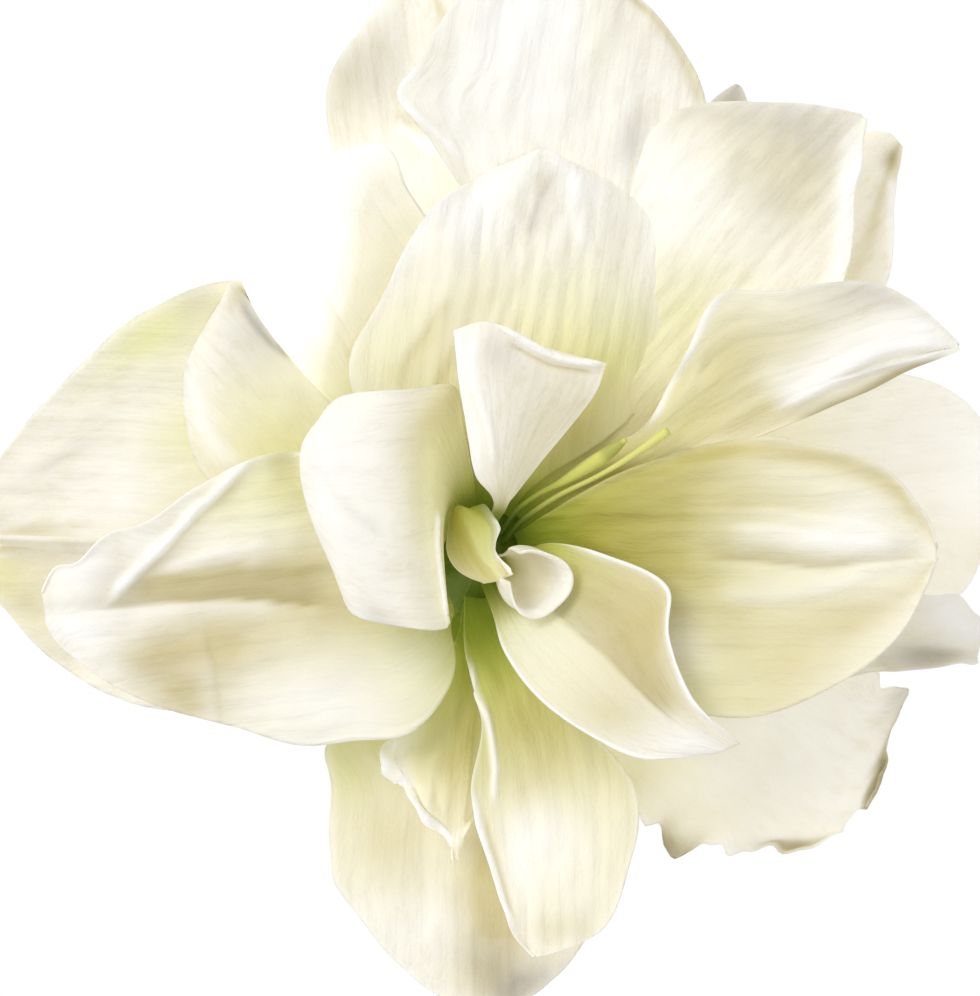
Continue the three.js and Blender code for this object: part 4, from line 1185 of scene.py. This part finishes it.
# the bulb and its dry skins
bulb = {
    "bottom": 62, "top": 158, "radii": [20, 35, 38, 36, 30, 23, 19.5, 19], "end": 0.04,
    "laps": 2, "twist": 0.9, "ribs": 46, "faces": (192, 110),
    "inset": 0.3, "lap": 0.7, "rib": 0.25, "uneven": 0.9,  # in mm
    "light": (0.56, 0.36, 0.17), "dark": (0.27, 0.13, 0.05),
    "pale": (0.62, 0.50, 0.29), "neck": (0.52, 0.50, 0.24), "roughness": (0.42, 0.7), "relief": 0.5,
}


def bulbRadius(height):
    return through(bulb["radii"], (height - bulb["bottom"]) / (bulb["top"] - bulb["bottom"]))


def bulbPoint(u, q):
    angle, end = math.pi * u, bulb["end"]
    part = min(max((q - end) / (1 - 2 * end), 0), 1)
    height = bulb["bottom"] + (bulb["top"] - bulb["bottom"]) * part
    lap = (bulb["laps"] * angle / (2 * math.pi) + bulb["twist"] * part) % 1.0
    skin = bulb["lap"] * lap ** 8 + bulb["rib"] * math.sin(bulb["ribs"] * angle + 3 * math.sin(5 * part))
    skin += bulb["uneven"] * noise.noise(polar(2, angle, part * 3))
    radius = bulbRadius(height) - bulb["inset"] - abs(skin) * smooth(part * 8) * smooth((1 - part) * 8)
    return polar(radius * smooth(q / end) * smooth((1 - q) / end), angle, height) * mm


paint = Paint("bulb")
streaks = paint.noise(aroundVector(paint, 14, 1.5, 1), 1.5, 5, 0.62)
broad = paint.noise(aroundVector(paint, 3, 1.2, 5), 1.2, 3)
_, along = paint.place()
paint.coat(
    bulb["light"],
    (streaks.ramp(0.3, 0.7), bulb["dark"]),
    (broad.ramp(0.45, 0.62, 0.0, 0.85), bulb["pale"]),
    (along.ramp(0.86, 0.97, 0.0, 0.75), bulb["neck"]),
)
paint.set("Roughness", broad.ramp(0.3, 0.7, *bulb["roughness"]))
paint.bump(streaks, bulb["relief"], 0.8)
piece("bulb.layers", outwards(gridMesh(bulbPoint, *bulb["faces"], True)), paint, "bulb")

skins = {  # bearing, half its width in degrees, low edge, high edge
    "tunic_scale_1": (270, 52, 116, 141),
    "tunic_scale_2": (30, 50, 115, 146),
    "tunic_scale_3": (150, 54, 117, 138),
}
skinFinish = {
    "light": (0.46, 0.25, 0.10), "dark": (0.20, 0.085, 0.03), "ribs": 34, "faces": (96, 40), "thick": 0.25,
    "tears": [(1.6, 9, 0), (0.7, 30, 4)],  # each has its height in mm, its number along the edge and a seed
    "narrower": 0.35, "gap": 0.85, "bow": 3, "flare": 1.6, "ripple": 0.35, "crease": 0.4,
}


def skinSurface(middle, half, low, high):
    def surface(u, q):
        edge = skinFinish["bow"] * math.cos(5 * u)
        for rise, scale, seed in skinFinish["tears"]:
            edge += rise * noise.noise(Vector((u * scale, middle, seed)))
        height = low + (high - low) * q + edge * q
        angle = math.radians(middle + half * u * (1 - skinFinish["narrower"] * q * q))
        flare = skinFinish["flare"] * smooth((q - 0.75) / 0.25)
        flare += skinFinish["ripple"] * math.sin(22 * u + middle) * q * q
        crease = skinFinish["crease"] * abs(noise.noise(Vector((u * 5, q * 4, middle))))
        return polar(bulbRadius(height) + skinFinish["gap"] + flare + crease, angle, height) * mm

    return surface


for node, sizes in skins.items():
    bm = gridMesh(skinSurface(*sizes), *skinFinish["faces"])
    piece(node + ".papery", bm, paperPaint(node, skinFinish, sizes[0]), node, skinFinish["thick"])

rootFinish = {"light": (0.74, 0.66, 0.48), "dark": (0.50, 0.40, 0.24), "roughness": 0.6, "relief": 0.4}
roots = Paint("roots", Roughness=rootFinish["roughness"])
mottle = roots.noise(roots.coordinates(), 260, 4)
roots.coat(rootFinish["light"], (mottle.ramp(0.3, 0.7), rootFinish["dark"]))
roots.bump(mottle, rootFinish["relief"], 0.6)
for slot in bpy.data.objects["basal_roots"].material_slots:
    slot.material = roots.material
print("bulb made")


# the pot and its soil
potShape = {
    "profile": [
        (0, 0), (50, 0), (51.3, 0.4), (52, 1.5), (72, 100), (75.2, 100.5), (76.4, 101.4), (77, 103),
        (79, 126), (78.6, 128.4), (77.2, 129.6), (75, 130), (71.6, 129.6), (70.4, 128.4), (69.3, 127),
        (46, 8), (0, 8),
    ],
    "steps": 128, "drains": 3, "drainTurn": 30, "drainCircle": 28, "drainRadius": 6, "drainHeight": 4,
    "drainDepth": 12, "softEdge": 0.6, "sharp": 50,  # edges over this angle are softened
    "dark": (0.47, 0.185, 0.085), "light": (0.56, 0.25, 0.13),
    "ring": (0.40, 0.15, 0.07), "grain": (0.66, 0.38, 0.24), "roughness": (0.78, 0.92), "relief": 0.35,
}


def turnedMesh(profile, steps):
    bm = bmesh.new()
    spots = [bm.verts.new((radius * mm, 0, height * mm)) for radius, height in profile]
    for first, second in zip(spots, spots[1:]):
        bm.edges.new((first, second))
    bmesh.ops.spin(bm, geom=bm.verts[:] + bm.edges[:], axis=(0, 0, 1), cent=(0, 0, 0), angle=2 * math.pi,
                   steps=steps, use_merge=True, use_duplicate=False)
    bmesh.ops.remove_doubles(bm, verts=bm.verts[:], dist=0.02 * mm)
    for face in bm.faces:
        face.smooth = True
    return outwards(bm)


clay = Paint("terracotta")
coordinates = clay.coordinates()
cloud = clay.noise(coordinates, 22, 5)
grain = clay.noise(coordinates, 900, 4)
turning = {0: coordinates, 1: (1.5, 1.5, 120)}
rings = clay.noise(clay.node("ShaderNodeVectorMath", {"operation": "MULTIPLY"}, turning), 3.0, 3)
clay.coat(
    potShape["dark"],
    (cloud.ramp(0.3, 0.7), potShape["light"]),
    (rings.ramp(0.35, 0.65, 0.0, 0.35), potShape["ring"]),
    (grain.ramp(0.5, 0.75, 0.0, 0.5), potShape["grain"]),
)
clay.set("Roughness", cloud.ramp(0.3, 0.7, *potShape["roughness"]))
clay.bump(rings * 0.6 + grain * 0.35, potShape["relief"], 0.8)
pot = piece("pot.clay", turnedMesh(potShape["profile"], potShape["steps"]), clay, "pot")

drains = bmesh.new()
for i in range(potShape["drains"]):
    angle = math.radians(360 / potShape["drains"] * i + potShape["drainTurn"])
    place = Matrix.Translation(polar(potShape["drainCircle"], angle, potShape["drainHeight"]) * mm)
    radius = potShape["drainRadius"] * mm
    bmesh.ops.create_cone(drains, cap_ends=True, segments=40, radius1=radius, radius2=radius,
                          depth=potShape["drainDepth"] * mm, matrix=place)
cutter = meshObject("drains", drains)
cut = pot.modifiers.new("Drains", "BOOLEAN")
cut.object, cut.solver = cutter, "EXACT"
pot.data = bpy.data.meshes.new_from_object(pot.evaluated_get(bpy.context.evaluated_depsgraph_get()))
pot.modifiers.clear()
bpy.data.objects.remove(cutter)
edges = pot.modifiers.new("Edges", "BEVEL")
edges.width, edges.segments = potShape["softEdge"] * mm, 2
edges.angle_limit = math.radians(potShape["sharp"])

soilShape = {
    "profile": [
        (0, 8.3), (45.6, 8.3), (65.6, 110), (60, 111), (54, 111.7), (48, 112.2), (43, 112.4), (38.6, 112.5),
        (38.6, 104), (38.6, 86), (36, 76), (20.6, 62.2), (18.4, 54.6), (0, 54.6),
    ],
    "surface": (2, 7), "sink": 0.4, "faces": (200, 130),  # surface: its first and last point
    "lumps": [(0.12, 1.3), (0.4, 0.9), (1.1, 0.5)],  # how fast they change, and their height in mm
    "dark": (0.022, 0.014, 0.009), "light": (0.085, 0.052, 0.030), "fleck": (0.17, 0.11, 0.07),
    "roughness": 0.92, "relief": 1.4,
}


def soilLump(spot):
    return sum(noise.noise(spot * scale) * rise for scale, rise in soilShape["lumps"])


def soilPoint(u, q):
    angle, x = math.pi * u, q * (len(soilShape["profile"]) - 1)
    radius, height = between(soilShape["profile"], x)
    first, last = soilShape["surface"]
    if first <= x <= last:
        lump = soilLump(polar(radius, angle))
        height += lump * smooth((x - first) * 3) * smooth((last - x) * 2) - soilShape["sink"]
    return polar(radius, angle, height) * mm


soil = Paint("potting mix", Roughness=soilShape["roughness"])
coordinates = soil.coordinates()
coarse = soil.noise(coordinates, 210, 5)
fine = soil.noise(coordinates, 900, 3)
soil.coat(
    soilShape["dark"],
    (coarse.ramp(0.35, 0.65), soilShape["light"]),
    (fine.ramp(0.6, 0.75, 0.0, 0.6), soilShape["fleck"]),
)
soil.bump(coarse + fine * 0.5, soilShape["relief"], 0.9)
bm = outwards(gridMesh(soilPoint, *soilShape["faces"], True))
piece("potting_mix.bed", bm, soil, "potting_mix")

crumbs = {
    "count": 420, "inner": 40, "outer": 63, "small": 0.7, "large": 2.0, "level": 112.2, "raised": 0.2,
    "slope": (42, 24, 2.4),  # where the soil starts to fall, over what distance, and how far
    "shape": (1.3, 1, 0.7), "rough": 0.35,
}


def crumbMesh():
    bm = bmesh.new()
    start, reach, fall = crumbs["slope"]
    shape = Vector(crumbs["shape"])
    for i in range(crumbs["count"]):
        a, b, c, d = (noise.cell(Vector((i * 7.3, k * 11.7, 3.1 * k))) for k in range(4))
        far = crumbs["inner"] + (crumbs["outer"] - crumbs["inner"]) * abs(b)
        size = crumbs["small"] + (crumbs["large"] - crumbs["small"]) * abs(c) ** 2
        spot = polar(far, 2 * math.pi * abs(a))
        height = crumbs["level"] - fall * smooth((far - start) / reach)
        spot.z = height + soilLump(spot) + size * crumbs["raised"]
        place = Matrix.Translation(spot * mm) @ Matrix.Rotation(fullTurn * d, 4, (a, b, 1))
        made = bmesh.ops.create_icosphere(bm, subdivisions=1, radius=size * mm, matrix=Matrix())
        for vert in made["verts"]:
            jitter = 1 + crumbs["rough"] * noise.noise(vert.co * 1500 + Vector((i, 0, 0)))
            vert.co = place @ (vert.co * shape * jitter)
    return bm


piece("potting_mix.crumbs", crumbMesh(), soil, "potting_mix")
print("pot and soil made")


# light, floor and camera
skyFade = {"From Min": -0.6, "From Max": 0.7, "To Min": 0.64, "To Max": 1.02}  # dimmer in front than behind
world = bpy.data.worlds.new("Studio")
bpy.context.scene.world = world
world.use_nodes = True
tree = world.node_tree
background = tree.nodes["Background"]
direction = tree.nodes.new("ShaderNodeTexCoord")
split = tree.nodes.new("ShaderNodeSeparateXYZ")
fade = tree.nodes.new("ShaderNodeMapRange")
fade.interpolation_type = "SMOOTHSTEP"
for key, value in skyFade.items():
    fade.inputs[key].default_value = value
tree.links.new(direction.outputs["Generated"], split.inputs[0])
tree.links.new(split.outputs["Y"], fade.inputs["Value"])
tree.links.new(fade.outputs[0], background.inputs["Strength"])
background.inputs["Color"].default_value = (1, 1, 1, 1)

lamps = {
    "Key": {"at": (-0.75, -0.95, 1.15), "size": 0.8, "power": 6.9},
    "Fill": {"at": (0.9, -0.9, 0.75), "size": 0.9, "power": 0.8},
}
for name, lamp in lamps.items():
    light = bpy.data.lights.new(name, "AREA")
    light.energy, light.size = lamp["power"], lamp["size"]
    holder = bpy.data.objects.new(name, light)
    holder.location = lamp["at"]
    holder.rotation_euler = (flowerCentre - holder.location).to_track_quat("-Z", "Y").to_euler()
    bpy.context.collection.objects.link(holder)

floorSizes = {"radius": 0.85, "clear": (0.3, 0.82), "grey": 0.86}  # clear is where it fades out, in metres
bm = bmesh.new()
bmesh.ops.create_circle(bm, cap_ends=True, segments=96, radius=floorSizes["radius"])
floorPaint = Paint("Floor", Base_Color=(*[floorSizes["grey"]] * 3, 1), Roughness=0.8)
spot = floorPaint.node("ShaderNodeVectorMath", {"operation": "LENGTH"}, {0: floorPaint.coordinates()}, 1)
blended = floorPaint.node("ShaderNodeMixShader", None, {
    0: spot.ramp(*floorSizes["clear"]), 1: Wire(floorPaint, floorPaint.shader.outputs[0]),
    2: floorPaint.node("ShaderNodeBsdfTransparent"),
})
floorPaint.join(blended, floorPaint.tree.nodes["Material Output"].inputs[0])
meshObject("Floor", bm, floorPaint)

view = {"sensor": 36.0, "lens": 99.66, "shift": (0.005, 0.0542), "distance": 0.48}
camera = bpy.data.cameras.new("Camera")
camera.sensor_width, camera.lens = view["sensor"], view["lens"]
camera.shift_x, camera.shift_y = view["shift"]
eye = bpy.data.objects.new("Camera", camera)
eye.location = flowerCentre + viewAxis * view["distance"]
eye.rotation_euler = viewAxis.to_track_quat("Z", "Y").to_euler()
bpy.context.collection.objects.link(eye)
bpy.context.scene.camera = eye
bpy.context.scene.view_settings.view_transform = "Standard"
